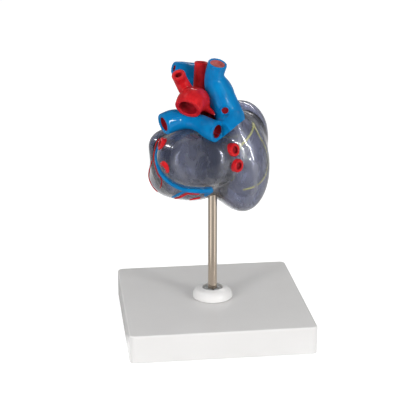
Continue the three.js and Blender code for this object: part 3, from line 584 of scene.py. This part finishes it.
def grey_ramp(tree, factor, stops):
    """Greys between stops, each a place and a grey. The ramp's own first and last stops go."""
    node = add_node(tree, "ShaderNodeValToRGB", {"Fac": factor})
    elements = node.color_ramp.elements
    for at, grey in stops:
        elements.new(at).color = (grey, grey, grey, 1)
    elements.remove(elements[0])
    elements.remove(elements[-1])
    return node.outputs["Color"]


resin_group, resin_in, resin_out = node_group(
    "cast_resin",
    [
        ("Shaded Tint", "NodeSocketColor", (0.30, 0.32, 0.40, 1)),
        ("Clear", "NodeSocketColor", (0.50, 0.51, 0.57, 1)),
        ("Milky", "NodeSocketColor", (0.78, 0.78, 0.80, 1)),
        ("Gloss", "NodeSocketFloat", 0.03),
        ("Haze", "NodeSocketFloat", 0.12),
    ],
    [("Colour", "NodeSocketColor"), ("Roughness", "NodeSocketFloat"), ("Height", "NodeSocketFloat")],
)
place = add_node(resin_group, "ShaderNodeTexCoord").outputs["Object"]
place_x, place_y, place_z = add_node(resin_group, "ShaderNodeSeparateXYZ", {0: place}).outputs
across = add_node(
    resin_group, "ShaderNodeMapRange", {"Value": place_x, "From Min": -0.045, "From Max": 0.025}
).outputs[0]
# Painted shade: the resin darkens at the heart's left and in its middle.
painted_shade_across = grey_ramp(resin_group, across, painted_shade_bands)
poured = add_node(
    resin_group, "ShaderNodeMapping", {"Vector": place, "Scale": (150.0, 150.0, 34.0)}
).outputs[0]
streaks = add_node(
    resin_group, "ShaderNodeTexNoise", {"Vector": poured, "Scale": 1.0, "Detail": 2.0, "Distortion": 0.9}
).outputs[0]
streak_mask = add_node(
    resin_group, "ShaderNodeMapRange", {"Value": streaks, "From Min": 0.52, "From Max": 0.75}
).outputs[0]
waves = add_node(
    resin_group, "ShaderNodeTexNoise", {"Vector": place, "Scale": 110.0, "Detail": 1.0}
).outputs[0]
smoke = blend_colours(resin_group, painted_shade_across, resin_in["Shaded Tint"], resin_in["Clear"])
streaked = blend_colours(resin_group, streak_mask, smoke, resin_in["Milky"])
from_seam = number(resin_group, "ABSOLUTE", number(resin_group, "SUBTRACT", place_y, seam_middle))
near_seam = number(resin_group, "LESS_THAN", from_seam, seam_line_width / 2)
past_left = number(resin_group, "GREATER_THAN", place_x, shelf_left * mm)
past_right = number(resin_group, "LESS_THAN", place_x, shelf_right * mm)
above_shelf = number(resin_group, "GREATER_THAN", place_z, shelf_height * mm + heart_rise)
between = number(resin_group, "MULTIPLY", past_left, past_right)
in_notch = number(resin_group, "MULTIPLY", between, above_shelf)
# Painted shade: a fine dark line along the seam, left out in the shelf's notch.
seam_shade_mask = number(resin_group, "MULTIPLY", near_seam, number(resin_group, "SUBTRACT", 1.0, in_notch))
resin_tint = blend_colours(resin_group, seam_shade_mask, streaked, painted_seam_shade)
haze = number(resin_group, "MULTIPLY", streak_mask, resin_in["Haze"])
resin_group.links.new(resin_tint, resin_out["Colour"])
resin_group.links.new(number(resin_group, "ADD", resin_in["Gloss"], haze), resin_out["Roughness"])
resin_group.links.new(waves, resin_out["Height"])


def resin_material(name, shaded_tint, clear, milky, gloss, haze, tint, density, clearness):
    """A clear resin. Its tint has a density per metre, and its clearness is the share of light let in."""
    material, tree, shader = new_material(name)
    values = {"Shaded Tint": shaded_tint, "Clear": clear, "Milky": milky, "Gloss": gloss, "Haze": haze}
    resin = add_node(tree, "ShaderNodeGroup", values, node_tree=resin_group).outputs
    surface(tree, shader, resin["Colour"], resin["Roughness"], resin["Height"], resin_relief)
    shader.inputs["IOR"].default_value = 1.3
    shader.inputs["Transmission Weight"].default_value = clearness
    shader.inputs["Coat Weight"].default_value = 1.0
    shader.inputs["Coat Roughness"].default_value = 0.02
    depth = add_node(tree, "ShaderNodeVolumeAbsorption", {"Color": tint, "Density": density})
    tree.links.new(depth.outputs[0], tree.nodes["Material Output"].inputs["Volume"])
    return material


smoke_tint = (0.45, 0.47, 0.58, 1)
# Its first colour is the painted shade at the heart's left and middle, and the second is the clear tint.
smoky_resin = resin_material(
    "smoky_resin", (0.21, 0.235, 0.35, 1), (0.60, 0.62, 0.74, 1), (0.66, 0.68, 0.77, 1),
    0.26, 0.06, smoke_tint, 230, 0.9
)
for wall, body, node in (
    (rear_wall, "rear_heart", "rear_heart_wall"), (front_wall, "front_heart", "front_heart_wall")
):
    paint(wall, smoky_resin)
    shade(wall, 50)
    seat_on_heart(wall, body, node)

# Inner walls, valves, muscles and magnets
# Thin plates of the same resin part the chambers, with cusps in the floor's openings, and muscles stand on
# the front shell's inside. All are clear and glued in place. Nickel-plated magnets are flush in their bosses.
# Its first colour is the painted shade, as on the shells.
inner_resin = resin_material(
    "inner_resin", (0.16, 0.17, 0.24, 1), (0.36, 0.37, 0.44, 1), (0.44, 0.45, 0.50, 1),
    0.3, 0.1, smoke_tint, 60, 1.0
)
nickel = steel_material(
    "nickel_plate", (0.62, 0.62, 0.62, 1), (0.50, 0.50, 0.51, 1), (700, 700, 700), 0.28
)
inner_finish = {
    inner_resin: [
        "rod_socket", "valve_floor", "atrial_septum", "rear_ventricular_septum", "front_ventricular_septum",
        "anterolateral_papillary_muscle", "posteromedial_papillary_muscle", "right_papillary_muscle",
        "mitral_valve", "tricuspid_valve",
    ],
    nickel: magnets,
}
for material, names in inner_finish.items():
    for name in names:
        paint(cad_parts[name], material)

# Conducting system
# Cords of yellow paint-filled resin, cast into the walls: the sinus node and its three tracts. The node on
# the septum and the two branches that run down the front septum are painted yellow as well.
tube_roundness = 8
cord_voxel = 0.22
cord_rounding = 4
tract_levels = {
    "sinoatrial_node": -cast_wall / 2, "anterior_internodal_tract": -cast_wall / 2,
    "posterior_internodal_tract": -cast_wall / 2, "interatrial_tract": -cast_wall - 1,
}
tract_paths = {
    "sinoatrial_node": [(24, -6.8, 141, 0.9), (24.9, -8.2, 139.8, 1.3), (26.2, -9, 138, 0.9)],
    "anterior_internodal_tract": [
        (24.7, -8.4, 140, 0.8), (22.8, -14.1, 136.6, 0.8), (19.4, -17.2, 133, 0.8),
        (14.6, -21.1, 128.8, 0.8), (12.6, -20.8, 124, 0.8),
    ],
    "posterior_internodal_tract": [
        (24.9, -8.4, 139.8, 0.8), (27.4, -10.1, 137.2, 0.8), (30.4, -11.3, 132.4, 0.7), (33.4, -10, 124, 0.6),
        (33.6, -9, 115, 0.6), (28, -14.6, 106, 0.6), (18, -17.4, 101, 0.6),
    ],
    "interatrial_tract": [
        (15.6, -14, 135, 0.8), (6.5, -18, 137, 0.8), (-5.3, -18, 139, 0.8), (-17, -15, 139, 0.8),
    ],
}


def route(points, per_span=8):
    """Points along a smooth curve through points of x, y, z and radius."""
    ends = np.array(points, float)
    ends = np.vstack([2 * ends[0] - ends[1], ends, 2 * ends[-1] - ends[-2]])
    gaps = np.linalg.norm(np.diff(ends[:, :3], axis=0), axis=1) ** 0.5
    curve = []
    for i in range(1, len(ends) - 2):
        before, here, after, beyond = ends[i - 1:i + 3]
        d0, d1, d2 = gaps[i - 1:i + 2]
        leaving = ((here - before) / d0 - (after - before) / (d0 + d1) + (after - here) / d1) * d1
        arriving = ((after - here) / d1 - (beyond - here) / (d1 + d2) + (beyond - after) / d2) * d1
        for t in np.arange(per_span) / per_span:
            curve.append(
                here * (2 * t**3 - 3 * t**2 + 1) + leaving * (t**3 - 2 * t**2 + t)
                + after * (3 * t**2 - 2 * t**3) + arriving * (t**3 - t**2)
            )
    return np.array([*curve, ends[-2]])


def onto_wall(points, level):
    """Moves points up or down the slope until they lie at one level of the heart's form."""
    points = points.copy()
    step = 0.05
    for _ in range(8):
        here = body_distance(points[:, :3])
        ahead = [body_distance(points[:, :3] + step * np.eye(3)[axis]) for axis in range(3)]
        slope = (np.array(ahead).T - here[:, None]) / step
        points[:, :3] += slope * ((level - here) / np.maximum((slope**2).sum(1), 1e-6))[:, None]
    return points


def wall_route(path, level=0.0):
    return onto_wall(route(onto_wall(np.array(path, float), level)), level)


def tubes(name, routes):
    """Closed tubes along routes of x, y, z and radius in millimetres, as one mesh."""
    curve = bpy.data.curves.new(name, "CURVE")
    curve.dimensions = "3D"
    curve.bevel_depth = mm
    curve.bevel_resolution = tube_roundness
    curve.use_fill_caps = True
    for points in routes:
        spline = curve.splines.new("POLY")
        spline.points.add(len(points) - 1)
        for knot, (x, y, z, radius) in zip(spline.points, points):
            knot.co = (x * mm, y * mm, z * mm, 1)
            knot.radius = radius
    wire = bpy.data.objects.new(name + "_wire", curve)
    bpy.context.scene.collection.objects.link(wire)
    graph = bpy.context.evaluated_depsgraph_get()
    mesh = bpy.data.meshes.new_from_object(wire.evaluated_get(graph), depsgraph=graph)
    bpy.data.objects.remove(wire)
    piece = bpy.data.objects.new(name, mesh)
    bpy.context.scene.collection.objects.link(piece)
    return piece


def moulded_tubes(name, routes, voxel, rounding):
    """Tubes that run into each other with soft, moulded fillets, as one closed mesh."""
    piece = tubes(name, routes)
    remesh = piece.modifiers.new("mould", "REMESH")
    remesh.mode = "VOXEL"
    remesh.voxel_size = voxel * mm
    soften = piece.modifiers.new("soften", "SMOOTH")
    soften.factor = 0.5
    soften.iterations = rounding
    apply_modifiers(piece)
    return piece


tract_yellow = skin_material(
    "tract_yellow", (0.88, 0.83, 0.22, 1), (0.80, 0.76, 0.24, 1), 300, 0.4, 0.2, 0.00003
)
for name, path in tract_paths.items():
    cord = moulded_tubes("painted_" + name, [wall_route(path, tract_levels[name])], cord_voxel, cord_rounding)
    paint(cord, tract_yellow)
    shade(cord, 60)
    seat_on_heart(cord, "rear_heart", name)
for name in ("atrioventricular_node", "left_bundle_branch", "right_bundle_branch"):
    paint(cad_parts[name], tract_yellow)

# Great vessels
# Solid resin stems, painted glossy blue or red and glued on top of the rear shell. Each open end is a blind
# mouth with a rounded lip, and its inside is painted dark red, with a lighter red of painted light on shallow
# floors.
vena_cava_paths = [
    [
        (2, -9.2, 182.2, 6.3), (0.4, -6.2, 173.6, 6.3), (1.6, -5.2, 167.4, 7.9), (4.3, -5.2, 160.6, 8.9),
        (7.1, -5.6, 153.6, 9.2), (10.2, -6.6, 146.6, 9.4), (12.2, -7.4, 139.5, 10.2), (13, -6, 131, 10.6),
    ],
    [
        (-24, 12.8, 174.9, 4.4), (-18, 14.6, 173, 5.8), (-12, 18, 169.3, 8), (-2, 20, 166.6, 7.4),
        (6.5, 16, 162.6, 6.2), (9.5, 6, 158.8, 5.6), (8, -3, 157, 5.4),
    ],
    [(6, -15.6, 152.4, 3.1), (6.4, -12, 152.7, 3.2), (7.2, -7, 153, 3.4)],
    [(10.4, -8, 145.4, 9.2), (9, -14.2, 142.4, 9.4), (6, -19.4, 140.2, 8.6), (3, -22.4, 139.6, 7.6)],
]
aorta_paths = [
    [
        (-18.6, -20.2, 155.8, 8.7), (-16.2, -16.2, 159, 9), (-12.4, -10.2, 158.8, 8.5),
        (-8.2, -3, 156.2, 7.4), (-3.6, 4, 152, 7.4), (-1.6, 7.6, 147, 7.6), (-2, 8.4, 140, 8),
        (-3, 8, 131, 8.2),
    ],
    [(-23.4, -9.6, 175.7, 4.6), (-21.6, -7, 171.4, 4.4), (-18.4, -6, 165.2, 4.7), (-13.6, -6.6, 158, 5.4)],
    [(-6.9, 4.6, 180.4, 4.4), (-7.6, 4.2, 171.5, 4.2), (-8, 3, 163, 4.6), (-7.8, 0, 155.5, 5)],
    [(1.8, 10.8, 176.5, 3.4), (0.6, 10.4, 169, 3.3), (-1.6, 8.8, 161, 3.7), (-3.2, 6, 154, 4.4)],
    [(-0.2, -12.6, 149.2, 0.7), (-2.6, -9.6, 150.8, 1.8), (-6, -5.6, 152.6, 3)],
]
pulmonary_paths = [
    [
        (-33.4, -12, 143.8, 7.2), (-26.4, -9.2, 145.5, 7.2), (-19.1, -9, 145.6, 6.2),
        (-13.4, -11.5, 145, 5.8), (-7.8, -16, 143.2, 6.3), (-4.4, -21, 142, 6.8), (0, -25.4, 141.4, 7.2),
    ],
    [
        (-9.5, 25, 127, 7.6), (-12.5, 20, 136.5, 6.8), (-16, 10, 142, 6), (-17.6, 0, 144, 5.6),
        (-17, -9, 144.8, 5.2),
    ],
]
paint_edge_point = (9.7, -15.5, 139.1)
paint_edge_normal = (-0.605, 0.29, 0.742)
vessel_voxel = 0.4
stem_rounding = 9
fillet_rounding = 14
vessel_gap = 0.12
fillet_share = 0.8
lip = 0.7
mouth_reach = 5
mouth_depth = 6.0
mouth_floor_bevel = 1.2
shallow_mouth = 0.6

vessel_blue = skin_material(
    "vessel_blue", (0.0, 0.21, 0.50, 1), (0.0, 0.165, 0.43, 1), 160, 0.5, 0.10, 0.00005, coat=0.35, shine=0.05
)
vessel_red = skin_material(
    "vessel_red", (0.64, 0.018, 0.022, 1), (0.48, 0.008, 0.014, 1), 190, 0.5, 0.12, 0.00016, coat=0.4,
    shine=0.05,
)
mouth_red = skin_material(
    "mouth_red", (0.24, 0.004, 0.010, 1), (0.33, 0.010, 0.016, 1), 320, 0.4, 0.25, 0.00012, shine=0.25
)
# Painted light: a lighter red for the floors of shallow mouths.
mouth_floor_painted_light = skin_material(
    "mouth_floor_painted_light", (0.42, 0.07, 0.07, 1), (0.55, 0.16, 0.14, 1), 380, 0.5, 0.2, 0.00012
)


def aimed(bm, tip, direction):
    """Moves a form made about +Z to a point, with its +Z along a direction."""
    turn = Vector(direction).to_track_quat("Z", "Y").to_matrix().to_4x4()
    bmesh.ops.transform(bm, matrix=Matrix.Translation(Vector(tip)) @ turn, verts=bm.verts)
    return bm


def mouth_cutter(path, rim, depth, colour):
    """What is cut out of a vessel's tip: a round recess whose lip is rounded over, painted below the lip.
    Where it is shallow for its radius, its floor has a lighter red, which is painted light."""
    tip, following = np.array(path[0][:3]), np.array(path[1][:3])
    radius = path[0][3] - rim
    profile = [
        (0, -depth), (radius - mouth_floor_bevel, -depth), (radius, -depth + mouth_floor_bevel),
        (radius, -lip), *arc((radius + lip, -lip), lip, 180, 90, 6)[1:], (radius + lip, mouth_reach),
        (0, mouth_reach),
    ]
    bm = turned([(r * mm, z * mm) for r, z in profile], segments=48)
    # A shallow mouth's floor gets the lighter red, which is painted light.
    inside = 2 if depth < shallow_mouth * radius else 1
    for face in bm.faces:
        face.material_index = inside if face.calc_center_median().z < -lip * mm else 0
    cutter = make_piece("mouth", aimed(bm, tip * mm, tip - following))
    paint(cutter, colour, mouth_red, mouth_floor_painted_light)
    return cutter


def grown(piece, distance):
    """A copy that is thicker all round by a distance in millimetres."""
    double = copy_of(piece)
    swell = double.modifiers.new("grow", "DISPLACE")
    swell.strength = distance * mm
    swell.mid_level = 0
    apply_modifiers(double)
    return double


def great_vessel(piece, node, colour, mouths):
    """Fits a stem to the rear shell, paints it, and gives it its open ends: each end's path, the width of its
    rim and its depth."""
    paint(piece, colour, mouth_red, mouth_floor_painted_light)
    combine(piece, outer_skin, "DIFFERENCE", keep_tool=True)
    for path, rim, depth in mouths:
        combine(piece, mouth_cutter(path, rim, depth, colour), "DIFFERENCE")
    shade(piece, 45)
    seat_on_heart(piece, "rear_heart", node)


# The two blue stems are moulded as one, with a fillet where they meet, and parted there by a hair's width.
vena_cava_routes = [route(path) for path in vena_cava_paths]
pulmonary_routes = [route(path) for path in pulmonary_paths]
aorta_routes = [route(path) for path in aorta_paths]
vena_cava = moulded_tubes("vena_cava_alone", vena_cava_routes, vessel_voxel, stem_rounding)
pulmonary = moulded_tubes(
    "painted_pulmonary_artery", vena_cava_routes + pulmonary_routes, vessel_voxel, fillet_rounding
)
aorta = moulded_tubes("painted_aorta", aorta_routes, vessel_voxel, stem_rounding)
combine(aorta, grown(vena_cava, vessel_gap), "DIFFERENCE")
# The paint ends at a straight, slanted edge on the clear stump.
below_paint = block((200 * mm, 200 * mm, 60 * mm), (0, 0, -30 * mm))
aimed(below_paint, Vector(paint_edge_point) * mm, paint_edge_normal)
combine(pulmonary, make_piece("below_paint", below_paint), "DIFFERENCE")
parting = grown(vena_cava, fillet_share)
bpy.data.objects.remove(vena_cava)
vena_cava = copy_of(pulmonary)
vena_cava.name = "painted_vena_cava"
combine(pulmonary, grown(parting, vessel_gap), "DIFFERENCE")
combine(pulmonary, grown(aorta, vessel_gap), "DIFFERENCE")
combine(vena_cava, parting, "INTERSECT")
right_pulmonary_mouth = (pulmonary_paths[0][::-1], 2.8, mouth_depth)
vena_cava_mouths = [
    (vena_cava_paths[0], 1.5, 2.6), (vena_cava_paths[1], 2.3, mouth_depth), (vena_cava_paths[2], 0.9, 2.2),
    right_pulmonary_mouth,
]
aorta_mouths = [
    (aorta_paths[0], 2.8, mouth_depth), (aorta_paths[1], 2.4, 4), (aorta_paths[2], 1.3, 4),
    (aorta_paths[3], 1.3, 4),
]
pulmonary_mouths = [(pulmonary_paths[0], 2.6, mouth_depth), right_pulmonary_mouth]
great_vessel(vena_cava, "vena_cava", vessel_blue, vena_cava_mouths)
great_vessel(aorta, "aorta", vessel_red, aorta_mouths)
great_vessel(pulmonary, "pulmonary_artery", vessel_blue, pulmonary_mouths)

# Pulmonary vein stubs
# Short red rings glued on the left atrium, with rounded lips and dark red blind bores. Each stub has a place,
# a direction that it faces and a height.
vein_stubs = {
    "left_superior_pulmonary_vein": ((-34.2, -10.6, 130.4), (-0.93, -0.03, 0.35), 1.6),
    "left_inferior_pulmonary_vein": ((-33.8, -20, 117.2), (-0.84, -0.26, -0.48), 0.6),
    "right_superior_pulmonary_vein": ((9.6, -24, 128.6), (0.62, -0.75, 0.2), 2.6),
    "right_inferior_pulmonary_vein": ((11.6, -24, 118.7), (0.62, -0.78, 0), 2.6),
}
stub_radius = 4.3
stub_bore = 2.1
stub_bore_depth = 1.8
stub_lip = 1.0
stub_root = 6


def vein_stub(name, at, facing, stub_height):
    lip_height = stub_height - stub_lip
    bore_end = stub_height - stub_bore_depth
    profile = [
        (0, -stub_root), (stub_radius + 0.5, -stub_root),
        *arc((stub_radius - stub_lip, lip_height), stub_lip, 10, 90, 8),
        *arc((stub_bore + stub_lip, lip_height), stub_lip, 90, 180, 8),
        (stub_bore, bore_end), (0, bore_end - 0.3),
    ]
    bm = turned([(r * mm, z * mm) for r, z in profile], segments=48)
    for face in bm.faces:
        middle = face.calc_center_median()
        in_bore = math.hypot(middle.x, middle.y) < (stub_bore + 0.35) * mm
        face.material_index = int(in_bore and middle.z > 0)
    root = onto_wall(np.array([[*at, 0.0]]), 0.0)[0, :3]
    stub = make_piece("painted_" + name, aimed(bm, root * mm, facing))
    paint(stub, vessel_red, mouth_red)
    combine(stub, outer_skin, "DIFFERENCE", keep_tool=True)
    shade(stub, 45)
    seat_on_heart(stub, "rear_heart", name)


for name, placing in vein_stubs.items():
    vein_stub(name, *placing)

# Small vessels
# Thin painted cords that lie on the outside of the shells, in relief, and branch with soft fillets.
coronary_sinus_path = [
    (-36.6, -1, 128.6, 0.8), (-37.1, -2, 122.2, 1.0), (-37.4, -8, 118, 1.2), (-36.4, -10.3, 114.3, 1.4),
    (-34.5, -10.8, 110.2, 1.6), (-30.8, -12.7, 106.4, 1.8), (-26.1, -14.2, 103.3, 1.8),
    (-21.2, -15.2, 101.2, 1.9), (-12, -16.4, 100.4, 2.1), (-3, -13.4, 100, 2.4),
]
middle_cardiac_vein_path = [(-3, -13, 99.2, 2.2), (-4.6, -10, 96.8, 1.8), (-6.2, -6.8, 94.4, 1.1)]
left_posterior_vein_path = [
    (-17.6, -14.4, 100, 1), (-19.5, -13.2, 98.9, 1), (-21.7, -9.6, 96.5, 0.9), (-23.9, -6, 94.3, 0.9),
    (-25.5, -1.6, 91.8, 0.8), (-26.6, 3, 89.6, 0.8),
]
left_marginal_artery_path = [
    (-35.5, 5, 130.8, 0.42), (-37.3, 4.6, 126.5, 0.42), (-37.7, 3.6, 123, 0.42), (-38.6, 4, 118.4, 0.42),
    (-38.7, 3.6, 115.9, 0.42), (-38.1, 0.5, 113.3, 0.42), (-37, -1.8, 109.1, 0.42), (-35.9, -3, 106.8, 0.42),
    (-34.8, -4.4, 105.4, 0.42), (-34.1, -3.3, 102.6, 0.42), (-34.3, 1.3, 98.2, 0.42),
    (-34.9, 4.6, 95.6, 0.42),
]
posterior_descending_artery_path = [
    (-10.5, -11.8, 96.3, 0.8), (-14, -11.9, 96.5, 0.8), (-18.1, -10.9, 96.3, 0.8), (-20.4, -7.9, 94.3, 0.9),
    (-22.7, -2.9, 91.3, 0.8), (-24.6, 3, 89, 0.8),
]
inferior_septal_artery_path = [(-9, -6.5, 91.9, 0.7), (-12.9, -5.4, 90.8, 0.7), (-15.7, -4, 90, 0.7)]
anterior_descending_artery_path = [
    (-15.6, 33, 125, 1.3), (-18.5, 38.5, 117.5, 1.3), (-21.5, 43, 109, 1.2), (-24.5, 46.5, 100, 1),
    (-26.5, 46, 91, 0.8),
]
diagonal_artery_path = [
    (-38.8, 6.6, 114.6, 0.42), (-40, 8.5, 111, 0.42), (-41, 18, 104, 0.5), (-40.6, 22.2, 98.7, 0.42),
    (-38.2, 20, 92.5, 0.42), (-35, 18, 89, 0.42),
]
great_cardiac_vein_path = [
    (-20.6, 31.6, 124.6, 1.1), (-24.4, 36.6, 116.6, 1.2), (-27.4, 41, 108, 1.1), (-30, 43.6, 99.6, 0.9),
]
right_coronary_artery_path = [
    (11.5, 33, 126.5, 1.4), (19, 36, 122, 1.4), (27.6, 33, 115.4, 1.3), (34, 24, 108, 1.2), (36, 12, 101, 1),
]
right_marginal_artery_path = [(27.6, 33, 115.4, 1), (24.6, 37, 106, 0.9), (17.6, 38, 94, 0.8)]
small_vessels = {
    "coronary_sinus": (
        [coronary_sinus_path, middle_cardiac_vein_path, left_posterior_vein_path], "rear_heart", "blue_vessel"
    ),
    "left_marginal_artery": ([left_marginal_artery_path], "rear_heart", "red_vessel"),
    "posterior_descending_artery": ([posterior_descending_artery_path], "rear_heart", "red_vessel"),
    "inferior_septal_artery": ([inferior_septal_artery_path], "rear_heart", "red_vessel"),
    "anterior_descending_artery": (
        [anterior_descending_artery_path, diagonal_artery_path], "front_heart", "red_vessel"
    ),
    "great_cardiac_vein": ([great_cardiac_vein_path], "front_heart", "blue_vessel"),
    "right_coronary_artery": (
        [right_coronary_artery_path, right_marginal_artery_path], "front_heart", "red_vessel"
    ),
}
for name, (paths, body, slot) in small_vessels.items():
    cord = moulded_tubes("painted_" + name, [wall_route(path) for path in paths], cord_voxel, cord_rounding)
    combine(cord, outer_skin, "DIFFERENCE", keep_tool=True)
    if body == "rear_heart":
        combine(cord, front_space(seam_gap), "DIFFERENCE")
    else:
        combine(cord, front_space(0), "INTERSECT")
    paint(cord, vessel_blue if slot == "blue_vessel" else vessel_red)
    shade(cord, 50)
    seat_on_heart(cord, body, name)

for tool in (outer_skin, cavity, mid_wall):
    bpy.data.objects.remove(tool)

# Ground, light and camera
# A white ground that keeps a soft shadow, a white room, two broad lamps low on both sides that light matt
# surfaces, and narrow lamps that only gloss sees, for the highlights.
ground_reach = 3
ground_drop = 0.3 * mm
ground_glow = 0.8
ground_grey = (0.45, 0.45, 0.45, 1)
# What gloss sees of the ground by bearing, from the heart's back to its front: white on both sides only.
glossy_ground = ((0.0, 0.05), (0.16, 0.06), (0.26, 1.0), (0.35, 1.0), (0.44, 0.06), (0.8, 0.05), (1.0, 0.1))
room_fill = 0.48
glossy_room = (0.1, 0.3)

ground_bm = bmesh.new()
bmesh.ops.create_grid(ground_bm, x_segments=1, y_segments=1, size=ground_reach)
bmesh.ops.translate(ground_bm, verts=ground_bm.verts, vec=(0, 0, -ground_drop))
ground = make_piece("ground", ground_bm)


def ray_kinds(tree):
    """The kinds of ray, and which rays show the background: the camera's and those through clear resin."""
    kinds = add_node(tree, "ShaderNodeLightPath").outputs
    return kinds, number(tree, "MAXIMUM", kinds["Is Camera Ray"], kinds["Is Transmission Ray"])


ground_material = bpy.data.materials.new("white_ground")
ground_material.use_nodes = True
tree = ground_material.node_tree
tree.nodes.clear()
path_info, seen = ray_kinds(tree)
place = add_node(tree, "ShaderNodeTexCoord").outputs["Object"]
place_x, place_y, place_z = add_node(tree, "ShaderNodeSeparateXYZ", {0: place}).outputs
backwards = number(tree, "MULTIPLY", place_y, -1.0)
bearing = number(tree, "ABSOLUTE", number(tree, "ARCTAN2", place_x, backwards))
white_sides = grey_ramp(tree, number(tree, "DIVIDE", bearing, math.pi), glossy_ground)
gloss_level = number(tree, "MULTIPLY", white_sides, path_info["Is Glossy Ray"])
level = number(tree, "MAXIMUM", number(tree, "MULTIPLY", seen, ground_glow), gloss_level)
glow = add_node(tree, "ShaderNodeEmission", {"Strength": level})
matte = add_node(tree, "ShaderNodeBsdfDiffuse", {"Color": ground_grey})
both = add_node(tree, "ShaderNodeAddShader", {0: glow.outputs[0], 1: matte.outputs[0]})
add_node(tree, "ShaderNodeOutputMaterial", {"Surface": both.outputs[0]})
ground.data.materials.append(ground_material)

world = bpy.data.worlds.new("white_room")
bpy.context.scene.world = world
world.use_nodes = True
tree = world.node_tree
background = tree.nodes["Background"]
path_info, seen = ray_kinds(tree)
# Gloss sees a dark room, which is a little paler at the far side.
direction = add_node(tree, "ShaderNodeTexCoord").outputs["Generated"]
far_side = add_node(tree, "ShaderNodeSeparateXYZ", {0: direction}).outputs["Y"]
dark_room = add_node(tree, "ShaderNodeMapRange", {"Value": far_side, "From Min": 0.6, "From Max": 0.9})
dark_room.inputs["To Min"].default_value, dark_room.inputs["To Max"].default_value = glossy_room
gloss_light = number(tree, "MULTIPLY", dark_room.outputs[0], path_info["Is Glossy Ray"])
plain = number(tree, "SUBTRACT", 1.0, number(tree, "MAXIMUM", seen, path_info["Is Glossy Ray"]))
shown = number(tree, "ADD", seen, gloss_light)
room = number(tree, "ADD", shown, number(tree, "MULTIPLY", plain, room_fill))
background.inputs["Color"].default_value = (1, 1, 1, 1)
tree.links.new(room, background.inputs["Strength"])


lamp_aim = Vector((0, 0, 0.12))


def lamp(name, azimuth, elevation, size, power, seen_by="diffuse", roll=0):
    """An area lamp, 1 m away, that looks at the heart and is seen by matt surfaces or by gloss alone. Azimuth
    0 is straight behind the heart's back, and the roll turns the lamp about the line to the heart."""
    a, e = math.radians(azimuth), math.radians(elevation)
    back = Vector((math.sin(a) * math.cos(e), -math.cos(a) * math.cos(e), math.sin(e)))
    light = bpy.data.lights.new(name, "AREA")
    light.shape = "RECTANGLE"
    light.size, light.size_y = size
    light.energy = power
    holder = bpy.data.objects.new(name, light)
    holder.visible_glossy = seen_by != "diffuse"
    holder.visible_diffuse = seen_by != "gloss"
    holder.location = lamp_aim + back
    holder.rotation_mode = "QUATERNION"
    holder.rotation_quaternion = (-back).to_track_quat("-Z", "Y") @ Quaternion((0, 0, 1), math.radians(roll))
    bpy.context.scene.collection.objects.link(holder)


lamp("left_softbox", -48, 10, (0.22, 0.7), 6.0)
lamp("right_softbox", 42, 12, (0.22, 0.7), 6.0)
lamp("right_strip", 40, 21, (0.018, 0.56), 2.2, "gloss")
lamp("low_flash", 33, 6, (0.02, 0.06), 0.8, "gloss")
lamp("rear_strip", 150, 38, (0.7, 0.07), 1.8, "gloss")
lamp("left_flash", -116, 30, (0.64, 0.03), 1.6, "gloss", roll=30)
lamp("ceiling", -114, 66, (0.45, 0.45), 0.5, "gloss")

camera_azimuth = math.radians(-7.32)
camera_elevation = math.radians(18.44)
camera_distance = 872.46 * mm
aim_height = 81.99 * mm + heart_rise
aim_right = -3.04 * mm
camera = bpy.data.cameras.new("camera")
camera.sensor_width = 36
camera.lens = 113.15
viewer = bpy.data.objects.new("camera", camera)
bpy.context.scene.collection.objects.link(viewer)
bpy.context.scene.camera = viewer
back = Vector(
    (
        math.sin(camera_azimuth) * math.cos(camera_elevation),
        -math.cos(camera_azimuth) * math.cos(camera_elevation),
        math.sin(camera_elevation),
    )
)
sideways = Vector((math.cos(camera_azimuth), math.sin(camera_azimuth), 0))
viewer.location = back * camera_distance + sideways * aim_right + Vector((0, 0, aim_height))
viewer.rotation_mode = "QUATERNION"
viewer.rotation_quaternion = (-back).to_track_quat("-Z", "Y")
bpy.context.scene.view_settings.view_transform = "Standard"
